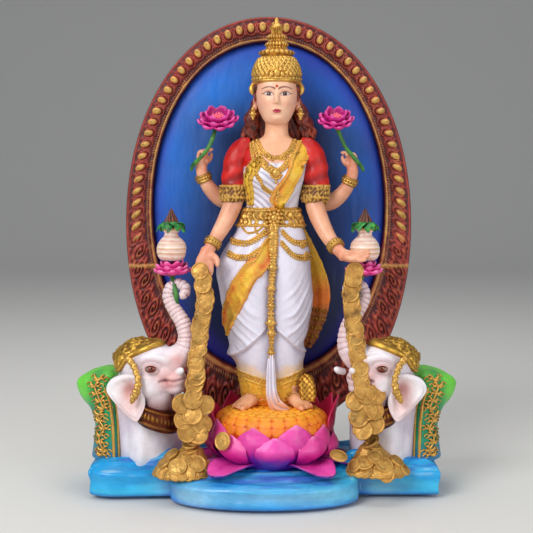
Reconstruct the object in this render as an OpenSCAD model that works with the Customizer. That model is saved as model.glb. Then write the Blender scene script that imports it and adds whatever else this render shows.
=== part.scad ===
// Gaja Lakshmi statue in painted cast resin: a goddess standing on a lotus before an oval
// backplate, flanked by two elephants in water. Millimetres, +Z up, +X to the viewer's right,
// -Y towards the viewer, origin under the middle of the felt pad.
// The figure's own right side is at -X, so right and left name the goddess's sides.

/* [Base] */
// Width of the water base
base_w = 124; // [120:1:132]
// Thickness of the water base
base_h = 10.8; // [10:0.1:12]
// How far the front lobe stands out from the side lobes
lobe_out = 16; // [12:0.5:16]
// Thickness of the felt pad under the base
felt_t = 1.2; // [0.8:0.1:2]

/* [Backplate] */
// Outer width of the oval frame
frame_w = 106.4; // [102:0.2:110]
// Outer height of the oval frame
frame_h = 154.3; // [150:0.1:158]
// Width of the frame band at the sides and the top
band_w = 10; // [8:0.5:12]
// Depth of the frame band
frame_t = 11; // [9:0.5:12]
// How far the blue panel domes forward
dome = 4; // [2:0.5:6]
// Number of cast bosses round the frame
boss_count = 88; // [60:2:100]

/* [Lotus] */
// Radius of the seed pod
pod_r = 20.2; // [18:0.2:22]
// Petals in each upper ring
petal_count = 9; // [7:1:11]

/* [Figure] */
// Height of the figure from the seed pod to the crown's tip
figure_h = 137.2; // [130:0.2:140]
// Diameter of the peg under the skirt
peg_d = 6; // [4:0.5:7]

/* [Elephants] */
// Distance of each elephant's head from the middle
elephant_x = 41.5; // [40:0.5:44]

/* [Coins] */
// Diameter of one coin
coin_d = 6.6; // [5:0.2:8]
// Thickness of one coin
coin_t = 1.1; // [0.8:0.1:1.5]

/* [Hidden] */

base_top = felt_t + base_h;      // level of the water
back_y = 29;                     // back of the base and the backplate
frame_y = back_y - frame_t;      // front of the frame band
frame_x = 0.8;                   // the backplate's middle
frame_top = 171.2;
frame_mid = frame_top - frame_h / 2;
band_foot = 22;                  // height of the band under the panel
panel_h = frame_h - band_w + 0.8 - band_foot;
panel_mid = frame_top - band_w + 0.8 - panel_h / 2;
tenon_w = 46;                    // the frame's foot tenon in the base slot
tenon_t = 5;
slot_gap = 0.1;

lotus = [1.8, -3, base_top];     // foot of the lotus
pod_top = 30.5;
cup_r = 15;                      // radius of the lotus cup's core
pod_seat = 17;                   // the pod's underside
peg_gap = 0.05;
peg_depth = 7;

body_at = [2, 4, pod_top];       // where the figure stands
size_k = figure_h / 137.2;       // the figure's points below are for this height

skin_c = "peachpuff";
gold_c = "goldenrod";
white_c = "white";
red_c = "firebrick";
pink_c = "hotpink";

// ---- surfaces made from rings ----

function unit(v) = v / norm(v);

// A point of the smooth curve through b and c, with neighbours a and d
function between(a, b, c, d, t) =
    0.5 * (2 * b + (c - a) * t + (2 * a - 5 * b + 4 * c - d) * t * t + (3 * b - a - 3 * c + d) * t * t * t);

// Stations refined to k steps between each pair
function refine(p, k) = [
    for (i = [0:len(p) - 2], j = [0:k - 1])
        between(p[max(i - 1, 0)], p[i], p[i + 1], p[min(i + 2, len(p) - 1)], j / k),
    p[len(p) - 1]
];

function place(s) = [s[0], s[1], s[2]];
function heading(p, i) = unit(place(p[min(i + 1, len(p) - 1)]) - place(p[max(i - 1, 0)]));

// One ring round a station [x, y, z, half width, half thickness, cup]
function ring(s, u, v, n) = [
    for (i = [0:n - 1])
        let (a = 360 * i / n)
        place(s) + s[3] * cos(a) * u + (s[4] * sin(a) + s[5] * cos(a) * cos(a)) * v
];

function middle(r) = [for (k = [0:2]) min([for (q = r) q[k]]) + max([for (q = r) q[k]])] / 2;

// A closed solid through a list of rings with equal numbers of points
module loft(rings) {
    n = len(rings[0]);
    m = len(rings);
    points = concat([for (r = rings) each r], [middle(rings[0]), middle(rings[m - 1])]);
    walls = [
        for (j = [0:m - 2], i = [0:n - 1])
            let (a = j * n + i, b = j * n + (i + 1) % n, c = b + n, d = a + n)
            each [[a, d, c], [a, c, b]]
    ];
    ends = [
        for (i = [0:n - 1])
            each [[m * n, i, (i + 1) % n], [m * n + 1, (m - 1) * n + (i + 1) % n, (m - 1) * n + i]]
    ];
    polyhedron(points, concat(walls, ends));
}

// A limb, leaf or strip along stations; ref is a direction that the half width stays across
module limb(stations, k = 3, n = 12, ref = [0, 1, 0]) {
    p = refine(stations, k);
    loft([
        for (i = [0:len(p) - 1])
            let (t = heading(p, i), u = unit(cross(ref, t)), v = cross(t, u))
            ring(p[i], u, v, n)
    ]);
}

// A body made of level rings; a station is [x, y, z, half width, half depth]
module stack(stations, k = 2, n = 20) {
    p = refine(stations, k);
    loft([for (s = p) ring([s[0], s[1], s[2], s[3], s[4], 0], [1, 0, 0], [0, 1, 0], n)]);
}

// A flat disc of one coin, standing on a face that looks along n
module coin(at, tilt, spin = 0) {
    translate(at)
        rotate([0, 0, spin])
            rotate([tilt, 0, 0])
                cylinder(d = coin_d, h = coin_t, center = true, $fn = 32);
}

function oval(w, h, n = 96) = [for (i = [0:n - 1]) [w / 2 * cos(360 * i / n), h / 2 * sin(360 * i / n)]];

module at_body() {
    translate(body_at)
        scale(size_k)
            children();
}

module both_sides(side) {
    mirror([side > 0 ? 1 : 0, 0, 0])
        children();
}

// ---- base ----

// Front edge of the base at x: a round lobe under the lotus between two shallow side lobes
function front_at(x) =
    let (lobe = abs(x) < 33 ? lobe_out * sqrt(1 - pow(x / 33, 2)) : 0,
         corner = max(0, abs(x) / (base_w / 2) - 0.85) / 0.15)
    min(-13 - lobe + max(0, 3 - lobe), -10.2 + 0.05 * x + 4 * corner * corner);

// The base's plan with its front moved back by inset and its ends moved in by side
function base_plan(inset, side) =
    let (w = base_w - 2 * side, h = w / 2)
    concat(
        [for (i = [0:44]) let (x = w * (i / 44 - 0.5)) [x - 0.7, front_at(x) + inset]],
        [[h - 0.7, back_y - 5], [h - 5.7, back_y - side], [-h + 4.3, back_y - side], [-h - 0.7, back_y - 5]]
    );

function base_level(inset, side, z) = [for (p = base_plan(inset, side)) [p[0], p[1], z]];

module felt_pad() {
    color("darkgreen")
        linear_extrude(felt_t)
            polygon(base_plan(4, 4));
}

module water_base() {
    color("deepskyblue")
        difference() {
            loft([
                base_level(1.6, 1.6, felt_t), base_level(0.9, 0.9, felt_t + 1.2),
                base_level(1.6, 1.6, felt_t + 3.4), base_level(0.3, 0.2, base_h * 0.58 + felt_t),
                base_level(0, 0, base_h * 0.7 + felt_t), base_level(1.6, 0.6, base_h * 0.88 + felt_t),
                base_level(4.6, 1.2, base_top)
            ]);
            translate([frame_x - tenon_w / 2 - slot_gap, back_y - 7 - slot_gap, felt_t + 4])
                cube([tenon_w + 2 * slot_gap, tenon_t + 2 * slot_gap, base_h]);
            translate([lotus[0], lotus[1], base_top - 3])
                cylinder(r = 8 + slot_gap, h = 10, $fn = 48);
        }
}

// ---- backplate ----

module standing(y, depth) {
    translate([frame_x, y + depth, 0])
        rotate([90, 0, 0])
            linear_extrude(depth)
                children();
}

module back_frame() {
    color(red_c)
        difference() {
            union() {
                standing(frame_y, frame_t)
                    translate([0, frame_mid])
                        polygon(oval(frame_w, frame_h));
                translate([frame_x - tenon_w / 2, back_y - 7, felt_t + 4.2])
                    cube([tenon_w, tenon_t, 26]);
            }
            standing(frame_y - 1, frame_t - 2)
                translate([0, panel_mid])
                    polygon(oval(frame_w - 2 * band_w + 0.2, panel_h + 0.2));
        }
}

module back_panel() {
    color("mediumblue")
        translate([frame_x, back_y - 3.05, panel_mid])
            rotate([90, 0, 0])
                loft([
                    for (s = [[1, 0], [1, 3.4], [0.93, 4.7], [0.8, 5.6], [0.6, 6.6], [0.35, 7.2], [0.12, 7.4]])
                        [for (p = oval((frame_w - 2 * band_w) * s[0], panel_h * s[0], 48))
                            [p[0], p[1], s[1] * (s[1] > 4 ? (dome + 3.4) / 7.4 : 1)]]
                ]);
}

module frame_bosses() {
    color(gold_c)
        for (i = [0:boss_count - 1])
            let (a = 360 * (i + 0.5) / boss_count,
                 x = (frame_w / 2 - band_w * 0.42) * cos(a),
                 z = (frame_h / 2 - band_w * 0.42) * sin(a) + frame_mid)
            if (z > 40)
                translate([frame_x + x, frame_y, z])
                    difference() {
                        sphere(r = 1.75, $fn = 14);
                        translate([-3, 0, -3])
                            cube(6);
                    }
}

// ---- lotus ----

// A cupped petal growing from radius r at level z, leaning out to its tip
module petal(turn, r, z, reach, rise, half, lean) {
    translate([lotus[0], lotus[1], 0])
        rotate([0, 0, turn])
            limb([
                [r - 2, 0, z, half * 0.45, 0.9, 0],
                [r + reach * 0.38, 0, z + rise * 0.22, half * 0.9, 1.0, 1.2],
                [r + reach * 0.75, 0, z + rise * 0.6, half, 0.9, 1.8],
                [r + reach * 0.95 + lean, 0, z + rise * 0.88, half * 0.68, 0.7, 1.2],
                [r + reach + lean * 2, 0, z + rise, half * 0.12, 0.35, 0.1]
            ], 2, 10, [0, 0.02, 1]);
}

module lotus_lower_petals() {
    color(pink_c)
        union() {
            translate([lotus[0], lotus[1], base_top])
                cylinder(r = cup_r - 1, h = 2, $fn = 48);
            translate([lotus[0], lotus[1], base_top - 3])
                cylinder(r = 8, h = 3.5, $fn = 48);
            for (i = [0:6])
                petal(-45 + 45 * i, 12, base_top + 1.3, 13, 1.4, 7.5, 0.5);
        }
}

module lotus_upper_petals() {
    color(pink_c)
        difference() {
            union() {
                translate([lotus[0], lotus[1], base_top + 2])
                    cylinder(r1 = cup_r - 1, r2 = cup_r + 3.4, h = 8, $fn = 60);
                for (i = [0:petal_count - 1])
                    petal(-90 + 360 * i / petal_count, cup_r - 1, base_top + 3.2, 8.5, 10, 8.2, 0.4);
                for (i = [0:petal_count - 1])
                    petal(-90 + 360 * (i + 0.5) / petal_count, cup_r - 2, base_top + 4, 6.5, 12.5, 8.2, 0.2);
            }
            translate([lotus[0], lotus[1], pod_seat])
                cylinder(r = pod_r + 0.1, h = 30, $fn = 72);
            translate([lotus[0], lotus[1], pod_seat - 4])
                cylinder(r = 5.1, h = 10, $fn = 36);
        }
}

module seed_pod() {
    color("orange")
        translate([lotus[0], lotus[1], 0])
            difference() {
                rotate_extrude($fn = 96)
                    polygon([
                        [0, pod_seat - 3.6], [5, pod_seat - 3.6], [5, pod_seat], [pod_r - 5, pod_seat],
                        [pod_r - 0.6, pod_top - 5.4], [pod_r, pod_top - 3.8], [pod_r - 0.8, pod_top - 2.2],
                        [pod_r - 4, pod_top - 0.8], [pod_r - 9, pod_top], [0, pod_top]
                    ]);
                translate([body_at[0] - lotus[0], body_at[1] - lotus[1], pod_top - peg_depth])
                    cylinder(d = peg_d + 2 * peg_gap, h = 20, $fn = 36);
            }
}

// ---- figure ----

// A bare foot pointing forward from its heel
module foot(x, turn) {
    color(skin_c)
        at_body()
            translate([x, -4.5, 0])
                rotate([0, 0, turn])
                    limb([
                        [0, 3.5, 1.5, 1.6, 1.2, 0], [0, 1.5, 2.3, 2.4, 2.2, 0], [0, -1.5, 2.1, 2.7, 2.0, 0],
                        [0, -4.5, 1.5, 3.1, 1.4, 0], [0, -6.8, 1.1, 2.7, 1.0, 0], [0, -7.8, 0.9, 1.2, 0.5, 0]
                    ], 2, 12, [0, 0, 1]);
}

module skirt() {
    color(white_c) {
        at_body()
            stack([
                [-0.7, 0.4, 0.3, 8.8, 5.0], [-0.7, 0, 3.5, 9.9, 5.8], [-0.8, 0, 8.9, 11.1, 7.2],
                [-0.8, 0, 13.7, 12.0, 7.8], [-1.4, 0, 17.3, 13.4, 8.2], [-2.0, 0, 22.8, 13.0, 8.4],
                [-1.8, 0, 28.5, 14.6, 8.6], [-1.75, 0, 37.6, 16.2, 8.8], [-3.2, 0, 47.7, 17.0, 9.0],
                [-3.0, 0, 54.8, 16.4, 8.8], [-1.5, 0, 61, 13.2, 7.8], [-0.3, 0, 65.5, 10.2, 6.8]
            ], 1, 24);
        translate([body_at[0], body_at[1], pod_top - peg_depth + 0.5])
            cylinder(d = peg_d, h = peg_depth + 6, $fn = 36);
    }
}

module torso() {
    color(white_c)
        at_body()
            stack([
                [-0.3, 0, 65.6, 10.0, 6.7], [-0.1, 0, 70, 9.4, 6.3], [0.3, -0.3, 77, 10.2, 7.0],
                [0.6, -0.8, 84, 11.4, 8.2], [1.0, -0.5, 89, 11.8, 7.2], [1.2, 0, 92.3, 11.0, 5.8],
                [1.4, 0.3, 94.6, 7.4, 4.8], [1.5, 0.4, 95.6, 4.6, 4.3]
            ], 2, 24);
}

module skirt_sash() {
    color("gold")
        at_body()
            limb([
                [0.5, -9.8, 60, 2.4, 0.7, 0], [-4, -9.9, 52, 3.2, 0.7, 0], [-10.5, -8.6, 43.5, 3.4, 0.7, 0],
                [-15.5, -4.6, 36, 3.2, 0.7, 0], [-17, 0, 31, 2.8, 0.7, 0]
            ], 3, 10, [0.75, 0.6, 0.3]);
}

module skirt_tassel() {
    color(gold_c)
        at_body()
            limb([
                [0.6, -8.6, 64, 2.8, 0.9, 0], [0.4, -10.0, 54, 2.3, 1.0, 0], [0.3, -10.4, 44, 2.1, 1.0, 0],
                [0.2, -10.0, 34, 1.9, 1.0, 0], [0.0, -9.6, 25, 1.8, 1.0, 0], [0.0, -9.4, 19, 1.4, 0.8, 0]
            ], 2, 10);
}

module pallu_shoulder() {
    color("orange")
        at_body()
            limb([
                [-1, -7.4, 68, 3.0, 0.9, 0], [4, -8.5, 75, 3.4, 0.9, 0], [8.6, -8.2, 83, 3.8, 0.9, 0],
                [11.5, -5.6, 90, 3.6, 0.9, 0], [12.8, -0.5, 94, 3.4, 0.9, 0], [12.5, 4.5, 90, 3.4, 0.9, 0],
                [10.5, 7.4, 80, 3.2, 0.9, 0]
            ], 3, 10, [0.9, -0.2, -0.4]);
}

module pallu_tail() {
    color("orange")
        at_body()
            limb([
                [11, 7, 60, 3.0, 1.1, 0], [14.5, 7, 50, 5.2, 1.2, 0], [17.0, 6.6, 40, 6.0, 1.2, 0],
                [16.8, 6.2, 30, 5.0, 1.2, 0], [14.5, 6.0, 20, 3.4, 1.1, 0], [12.6, 6.0, 12, 2.4, 1.0, 0]
            ], 2, 12);
}

module waist_belt() {
    color(gold_c)
        at_body()
            stack([
                [-0.3, 0, 63.4, 11.6, 8.1], [-0.3, 0, 64.4, 12.0, 8.5], [-0.3, 0, 67.6, 11.4, 8.1],
                [-0.2, 0, 68.8, 10.6, 7.4]
            ], 1, 28);
}

module necklaces() {
    color(gold_c)
        at_body() {
            limb([
                [-4.6, -3.4, 94.6, 0.9, 0.6, 0], [-4.4, -7.0, 90, 0.9, 0.6, 0], [-2.6, -9.0, 83, 0.9, 0.6, 0],
                [1, -9.8, 79.4, 1.3, 0.7, 0], [4.6, -9.2, 83, 0.9, 0.6, 0], [6.6, -7.2, 90, 0.9, 0.6, 0],
                [7.2, -3.6, 94.6, 0.9, 0.6, 0]
            ], 4, 8);
            limb([
                [-3.2, -4.6, 94.6, 1.0, 0.6, 0], [-2.4, -7.2, 91, 1.2, 0.6, 0], [1.2, -8.6, 88, 2.0, 0.8, 0],
                [4.8, -7.2, 91, 1.2, 0.6, 0], [5.8, -4.6, 94.6, 1.0, 0.6, 0]
            ], 4, 8);
        }
}

module head() {
    color(skin_c)
        at_body()
            union() {
                stack([
                    [1.6, -0.4, 100.0, 2.6, 2.6], [1.6, -0.8, 101.2, 4.6, 4.8], [1.6, -0.8, 104, 6.4, 6.9],
                    [1.6, -0.6, 108, 7.6, 7.9], [1.6, -0.2, 112, 7.9, 8.3], [1.6, 0.2, 116, 7.6, 8.0],
                    [1.6, 0.4, 119, 6.2, 6.6], [1.6, 0.4, 120.6, 3.4, 3.6]
                ], 1, 24);
                translate([1.5, 0.5, 94.4])
                    cylinder(r1 = 4.5, r2 = 4.1, h = 8, $fn = 36);
            }
}

module hair() {
    color("saddlebrown")
        at_body()
            stack([
                [1.7, 4.2, 92.8, 8.6, 2.4], [1.8, 4.4, 95.5, 11.6, 3.2], [1.8, 4.6, 99.5, 11.8, 3.8],
                [1.8, 4.8, 104, 9.6, 4.0], [1.7, 4.9, 109, 8.8, 4.2], [1.6, 4.9, 113.5, 8.2, 4.2],
                [1.6, 4.6, 117, 6.4, 3.6]
            ], 1, 20);
}

module earrings() {
    color(gold_c)
        at_body()
            for (x = [-8.0, 11.2])
                translate([x, -0.6, 102.6])
                    rotate_extrude($fn = 24)
                        polygon([[0, 0], [1.1, 0.5], [1.3, 1.4], [0.6, 2.4], [0.4, 4.2], [0, 4.2]]);
}

module crown() {
    color(gold_c)
        at_body()
            translate([1.6, 0.2, 115.2])
                difference() {
                    rotate_extrude($fn = 72)
                        polygon([
                            [0, 0], [9.0, 0], [9.3, 1.4], [8.8, 4.4], [7.2, 7.8], [6.0, 8.8], [6.5, 9.6],
                            [6.3, 10.6], [4.2, 11.2], [3.7, 12.2], [4.3, 12.9], [3.9, 13.8], [3.1, 14.6],
                            [3.9, 15.8], [3.5, 16.5], [1.9, 17.2], [2.0, 18.2], [2.7, 19.0], [2.1, 19.9],
                            [1.1, 21], [0.7, 22], [0, 22]
                        ]);
                    translate([0, 0, -0.1])
                        cylinder(r1 = 7.7, r2 = 3.6, h = 5.6, $fn = 48);
                }
}

// Sleeves hang from the shoulders; side is -1 for her right and +1 for her left
module sleeve(side) {
    at_body()
        color(red_c)
            limb([
                [1.2 + side * 9.8, 0.2, 93.0, 3.0, 2.6, 0], [1.2 + side * 12.2, 0.2, 90.8, 4.2, 4.2, 0],
                [1.1 + side * 13.9, 0, 85, 4.6, 4.6, 0], [1.0 + side * 14.4, -0.4, 79, 4.6, 4.7, 0],
                [0.8 + side * 14.2, -0.8, 73.4, 4.7, 4.8, 0]
            ], 2, 16);
}

module arm_front_right() {
    color(skin_c)
        at_body()
            limb([
                [-13.4, -0.9, 73.2, 3.3, 3.3, 0], [-15.0, -2.6, 69, 3.2, 3.2, 0], [-18.2, -5.6, 62.5, 2.8, 2.8, 0],
                [-21.0, -8.2, 57.4, 2.3, 2.2, 0], [-22.8, -9.8, 53.4, 3.8, 1.7, 0], [-23.4, -10.8, 48.6, 4.1, 1.5, 0],
                [-23.2, -11.6, 44.2, 3.0, 1.1, 0], [-23.2, -12.0, 42.2, 1.2, 0.6, 0]
            ], 2, 14);
}

module arm_front_left() {
    color(skin_c)
        at_body()
            limb([
                [15.0, -0.9, 73.2, 3.3, 3.3, 0], [16.2, -2.6, 68, 3.2, 3.2, 0], [19.2, -5.4, 61, 2.8, 2.8, 0],
                [22.8, -8.2, 56.4, 2.3, 2.3, 0], [26.4, -10.0, 54.2, 2.6, 3.4, 0], [30.4, -11.0, 54.0, 2.0, 3.6, 0],
                [34.2, -11.8, 54.8, 1.4, 2.6, 0], [36.2, -12.2, 55.2, 0.7, 1.2, 0]
            ], 2, 14, [0, 0, 1]);
}

module arm_rear_right() {
    color(skin_c)
        at_body()
            limb([
                [-10.8, 4.6, 79, 3.0, 2.6, 0], [-14.2, 5.2, 73.6, 3.1, 2.8, 0], [-18.0, 5.0, 73.0, 3.1, 2.9, 0],
                [-22.6, 3.8, 77.4, 2.7, 2.6, 0], [-25.2, 2.6, 82.6, 2.2, 2.1, 0], [-25.0, 1.6, 87.2, 3.0, 2.0, 0],
                [-24.2, 1.0, 91.4, 3.2, 1.8, 0], [-22.6, 0.6, 95.2, 1.8, 1.3, 0], [-21.6, 0.6, 97, 0.9, 0.7, 0]
            ], 2, 14);
}

module arm_rear_left() {
    color(skin_c)
        at_body()
            limb([
                [12.8, 4.6, 79, 3.0, 2.6, 0], [16.4, 5.2, 73.6, 3.1, 2.8, 0], [21.0, 5.0, 72.4, 3.1, 2.9, 0],
                [25.8, 3.8, 76.0, 2.7, 2.6, 0], [28.6, 2.6, 81.4, 2.2, 2.1, 0], [28.4, 1.6, 86.4, 3.0, 2.0, 0],
                [27.6, 1.0, 90.8, 3.2, 1.8, 0], [26.0, 0.6, 94.6, 1.8, 1.3, 0], [25.0, 0.6, 96.6, 0.9, 0.7, 0]
            ], 2, 14);
}

// One bangle round a wrist whose arm heads along dir
module bangle(at, dir, r) {
    translate(at)
        rotate([0, acos(dir[2] / norm(dir)), atan2(dir[1], dir[0])])
            difference() {
                cylinder(r = r + 1.1, h = 3.2, center = true, $fn = 32);
                cylinder(r = r, h = 4, center = true, $fn = 32);
            }
}

module bangles() {
    color(gold_c)
        at_body() {
            bangle([-20.4, -7.6, 58.5], [-2.6, -2.6, -5], 2.6);
            bangle([22.0, -7.7, 57.2], [3.4, -2.6, -4], 2.6);
            bangle([-24.2, 3.2, 80.2], [-2.6, -1.2, 5], 2.6);
            bangle([27.4, 3.2, 79.0], [2.8, -1.2, 5], 2.6);
        }
}

// A small lotus: a ball of petals round a raised heart, with its stem below
module flower(at, r, h, petals = 8) {
    translate(at)
        union() {
            rotate_extrude($fn = 36)
                polygon([[0, -0.4], [r * 0.42, 0], [r * 0.6, h * 0.45], [r * 0.42, h * 0.8], [0, h * 0.95]]);
            for (i = [0:petals - 1])
                rotate([0, 0, 360 * i / petals])
                    limb([
                        [r * 0.2, 0, 0.2, r * 0.18, 0.5, 0], [r * 0.62, 0, h * 0.12, r * 0.36, 0.5, 0.3],
                        [r * 0.9, 0, h * 0.42, r * 0.3, 0.45, 0.3], [r, 0, h * 0.68, r * 0.05, 0.2, 0]
                    ], 1, 8, [0, 0.02, 1]);
        }
}

module hand_lotus(side) {
    x = side < 0 ? -19.2 : 22.4;
    r = side < 0 ? 7.4 : 6.4;
    color(pink_c)
        at_body() {
            flower([x, 0.4, 100.6], r, 5.6);
            limb([
                [x, 0.4, 101, 0.9, 0.9, 0], [x + side * 1.0, 0, 97, 0.9, 0.9, 0],
                [x + side * 3.2, -1.0, 92, 0.9, 0.9, 0], [x + side * 6.6, -1.0, 86, 0.8, 0.8, 0],
                [x + side * 8.4, -0.6, 83, 0.6, 0.6, 0]
            ], 2, 8);
        }
}

// ---- coins ----

// Coins falling from a hand: the string of discs and the flat backing they are cast on
module coin_stream(side) {
    path = side < 0
        ? [[-21.8, -12.5, 81], [-20.6, -12.8, 70], [-22.2, -13.4, 58], [-23.8, -14.0, 46], [-24.6, -15.2, 38]]
        : [[29.4, -12.5, 81], [28.4, -12.8, 70], [29.6, -13.4, 58], [31.6, -14.0, 46], [33.2, -15.2, 38]];
    fan = side < 0
        ? [[-28.6, -15.6, 35], [-21.4, -15.2, 34], [-27.6, -16.4, 28], [-22.6, -16.6, 27], [-25, -16.0, 31]]
        : [[37.4, -15.2, 39], [29.6, -15.4, 35], [35.6, -16.4, 33], [31.0, -16.4, 29.6], [36.8, -16.6, 28.6]];
    string = refine(path, 3);
    color(gold_c)
        union() {
            limb([for (p = path) [p[0], p[1] + 1.2, p[2], 3.1, 1.1, 0],
                  [fan[4][0], fan[4][1] + 1.2, fan[3][2] - 1, 4.2, 1.2, 0]], 2, 10);
            for (i = [0:len(string) - 1])
                coin(string[i] + [(i % 2) * 0.9 - 0.4, -0.3 * (i % 3), 0], 78 + 9 * (i % 3), -12 + 11 * (i % 4));
            for (i = [0:len(fan) - 1])
                coin(fan[i], 74 + 7 * (i % 3), -16 + 14 * (i % 3));
        }
}

module coin_heap(side) {
    x = side < 0 ? -28.6 : 38.6;
    color(gold_c)
        translate([x, side < 0 ? -14 : -12, base_top])
            union() {
                stack([
                    [0, -0.2, 0, 9.2, 6.6], [0, 0, 2.2, 9.2, 6.6], [0.2 * side, 0.4, 5, 7.2, 5.0],
                    [-0.6 * side, 0.8, 8, 4.8, 3.8], [-1.0 * side, 1.0, 10.6, 2.6, 2.4]
                ], 1, 14);
                for (i = [0:4])
                    let (a = -90 + 72 * i)
                    coin([7.2 * cos(a), 5.6 * sin(a), 2.6 + 0.3 * (i % 2)], 22 + 3 * (i % 3), a + 90);
                coin([-0.8 * side, -2.6, 8.2], 30, -10 * side);
            }
}

module loose_coins() {
    color(gold_c) {
        coin([-13.6, -22.3, 22.8], 76, -34);
        coin([24.8, -19.2, 17.0], 20, 30);
    }
}

// ---- elephants: built at -X and mirrored for the goddess's left ----

module elephant_body() {
    color(white_c)
        stack([
            [-elephant_x, 4, base_top, 12.6, 12.4], [-elephant_x, 4, base_top + 6, 13.4, 13.2],
            [-elephant_x - 1, 4, base_top + 14, 13.0, 13.2], [-elephant_x - 2.5, 5, base_top + 22, 12.2, 12.2],
            [-elephant_x - 3.5, 6, base_top + 28, 9.6, 9.8], [-elephant_x - 4, 6, base_top + 31.2, 5.2, 5.6]
        ], 1, 24);
}

module elephant_head() {
    color(white_c)
        stack([
            [-elephant_x + 5.0, -10.0, 29.0, 5.4, 5.2], [-elephant_x + 3.6, -10.2, 32, 8.4, 7.4],
            [-elephant_x + 1.4, -9.6, 37, 11.2, 8.8], [-elephant_x, -9.0, 42, 13.0, 9.6],
            [-elephant_x + 0.4, -8.8, 47, 12.8, 9.4], [-elephant_x + 1.2, -8.4, 52, 11.2, 8.4],
            [-elephant_x + 1.4, -8.0, 55.4, 7.6, 6.2], [-elephant_x + 1.4, -8.0, 57, 3.6, 3.4]
        ], 1, 24);
}

module trunk() {
    color(white_c)
        limb([
            [-elephant_x + 9.5, -14.0, 43.0, 3.6, 3.8, 0], [-elephant_x + 12.0, -16.0, 49, 3.8, 3.8, 0],
            [-elephant_x + 12.2, -15.4, 56, 3.6, 3.6, 0], [-elephant_x + 9.6, -12.6, 62.4, 3.2, 3.2, 0],
            [-elephant_x + 5.4, -10.0, 68.0, 2.7, 2.7, 0], [-elephant_x + 4.6, -8.6, 72.8, 2.3, 2.3, 0],
            [-elephant_x + 7.0, -8.0, 76.4, 2.0, 2.0, 0], [-elephant_x + 11.0, -8.4, 76.6, 2.0, 2.0, 0],
            [-elephant_x + 12.4, -9.4, 73.8, 1.9, 1.9, 0], [-elephant_x + 9.6, -10.4, 72.0, 1.5, 1.5, 0]
        ], 2, 12);
}

module elephant_ears() {
    color("mistyrose") {
        limb([
            [-elephant_x - 9.4, -9.0, 42.5, 2.4, 1.0, 0], [-elephant_x - 11.6, -9.6, 38.5, 5.6, 1.2, 1.2],
            [-elephant_x - 10.8, -10.2, 33.6, 5.8, 1.2, 1.6], [-elephant_x - 8.6, -10.8, 28.8, 3.6, 1.1, 1.0],
            [-elephant_x - 6.8, -11.2, 25.8, 1.2, 0.6, 0.2]
        ], 2, 12, [0.25, 1, 0]);
        limb([
            [-elephant_x + 8.6, -3.4, 45.0, 2.4, 1.1, 0], [-elephant_x + 10.4, 0.2, 41.5, 4.8, 1.3, 0.8],
            [-elephant_x + 10.2, 1.4, 37.0, 5.0, 1.3, 1.0], [-elephant_x + 8.6, 1.2, 33.0, 3.2, 1.2, 0.6],
            [-elephant_x + 7.0, 0.0, 30.4, 1.2, 0.7, 0.2]
        ], 2, 12, [0.75, 0.66, 0]);
    }
}

module tusk() {
    color("ivory")
        for (at = [[10.6, -16.2, 43.4], [16.2, -9.4, 43.6]])
            translate([-elephant_x + at[0], at[1], at[2]])
                limb([[-1.6, 2.6, -0.4, 1.4, 1.4, 0], [0, 0, 0, 1.2, 1.2, 0],
                      [1.0, -1.8, 0.6, 0.9, 0.9, 0], [1.4, -2.8, 1.2, 0.4, 0.4, 0]], 2, 10, [0, 0, 1]);
}

module headdress() {
    color(gold_c)
        difference() {
            stack([
                [-elephant_x + 0.2, -8.2, 50.4, 13.2, 9.6], [-elephant_x + 0.6, -8.0, 53, 12.6, 9.3],
                [-elephant_x + 1.0, -7.8, 56.2, 10.0, 7.6], [-elephant_x + 1.0, -7.8, 58.4, 5.0, 4.6]
            ], 1, 24);
            translate([-elephant_x + 6, -21.4, 49])
                rotate([0, -16, 0])
                    cube([20, 10, 5.2], center = false);
        }
}

module collar() {
    color("saddlebrown")
        stack([
            [-elephant_x + 2.4, -5.4, 23.4, 10.6, 12.0], [-elephant_x + 2.8, -6.6, 25.6, 10.4, 11.4],
            [-elephant_x + 3.2, -7.4, 29.0, 8.8, 9.8], [-elephant_x + 3.6, -7.6, 30.8, 7.6, 8.4]
        ], 1, 24);
}

module saddle_cloth() {
    color("limegreen")
        stack([
            [-56.4, 6.5, base_top, 6.2, 13.2], [-57.0, 6.5, base_top + 8, 5.8, 13.0],
            [-57.4, 6.5, base_top + 14, 6.2, 13.0], [-59.0, 6.5, base_top + 20, 7.8, 12.8],
            [-61.0, 6.5, base_top + 25.4, 8.0, 12.2], [-59.4, 6.5, base_top + 29.4, 6.6, 10.6],
            [-57.0, 6.5, base_top + 31, 3.8, 8.4]
        ], 1, 24);
}

module trunk_lotus() {
    color(pink_c)
        translate([-elephant_x + 8.4, -9.4, 0]) {
            flower([0, 0, 79.2], 6.6, 4.6);
            limb([[0, 0, 79.4, 0.9, 0.9, 0], [-0.2, 0.4, 75.6, 0.8, 0.8, 0], [0.2, 0.2, 71, 0.8, 0.8, 0],
                  [0.6, 0, 67.4, 0.6, 0.6, 0]], 2, 8);
        }
}

module kalash() {
    color("mistyrose")
        translate([-elephant_x + 8.4, -9.4, 0])
            rotate_extrude($fn = 60)
                polygon([
                    [0, 83.5], [3.6, 83.5], [4.9, 85], [5.3, 87], [5.0, 89.2], [3.9, 91.2], [2.7, 92.2],
                    [2.5, 93.2], [3.4, 94.6], [3.1, 95], [0, 95]
                ]);
}

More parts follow.
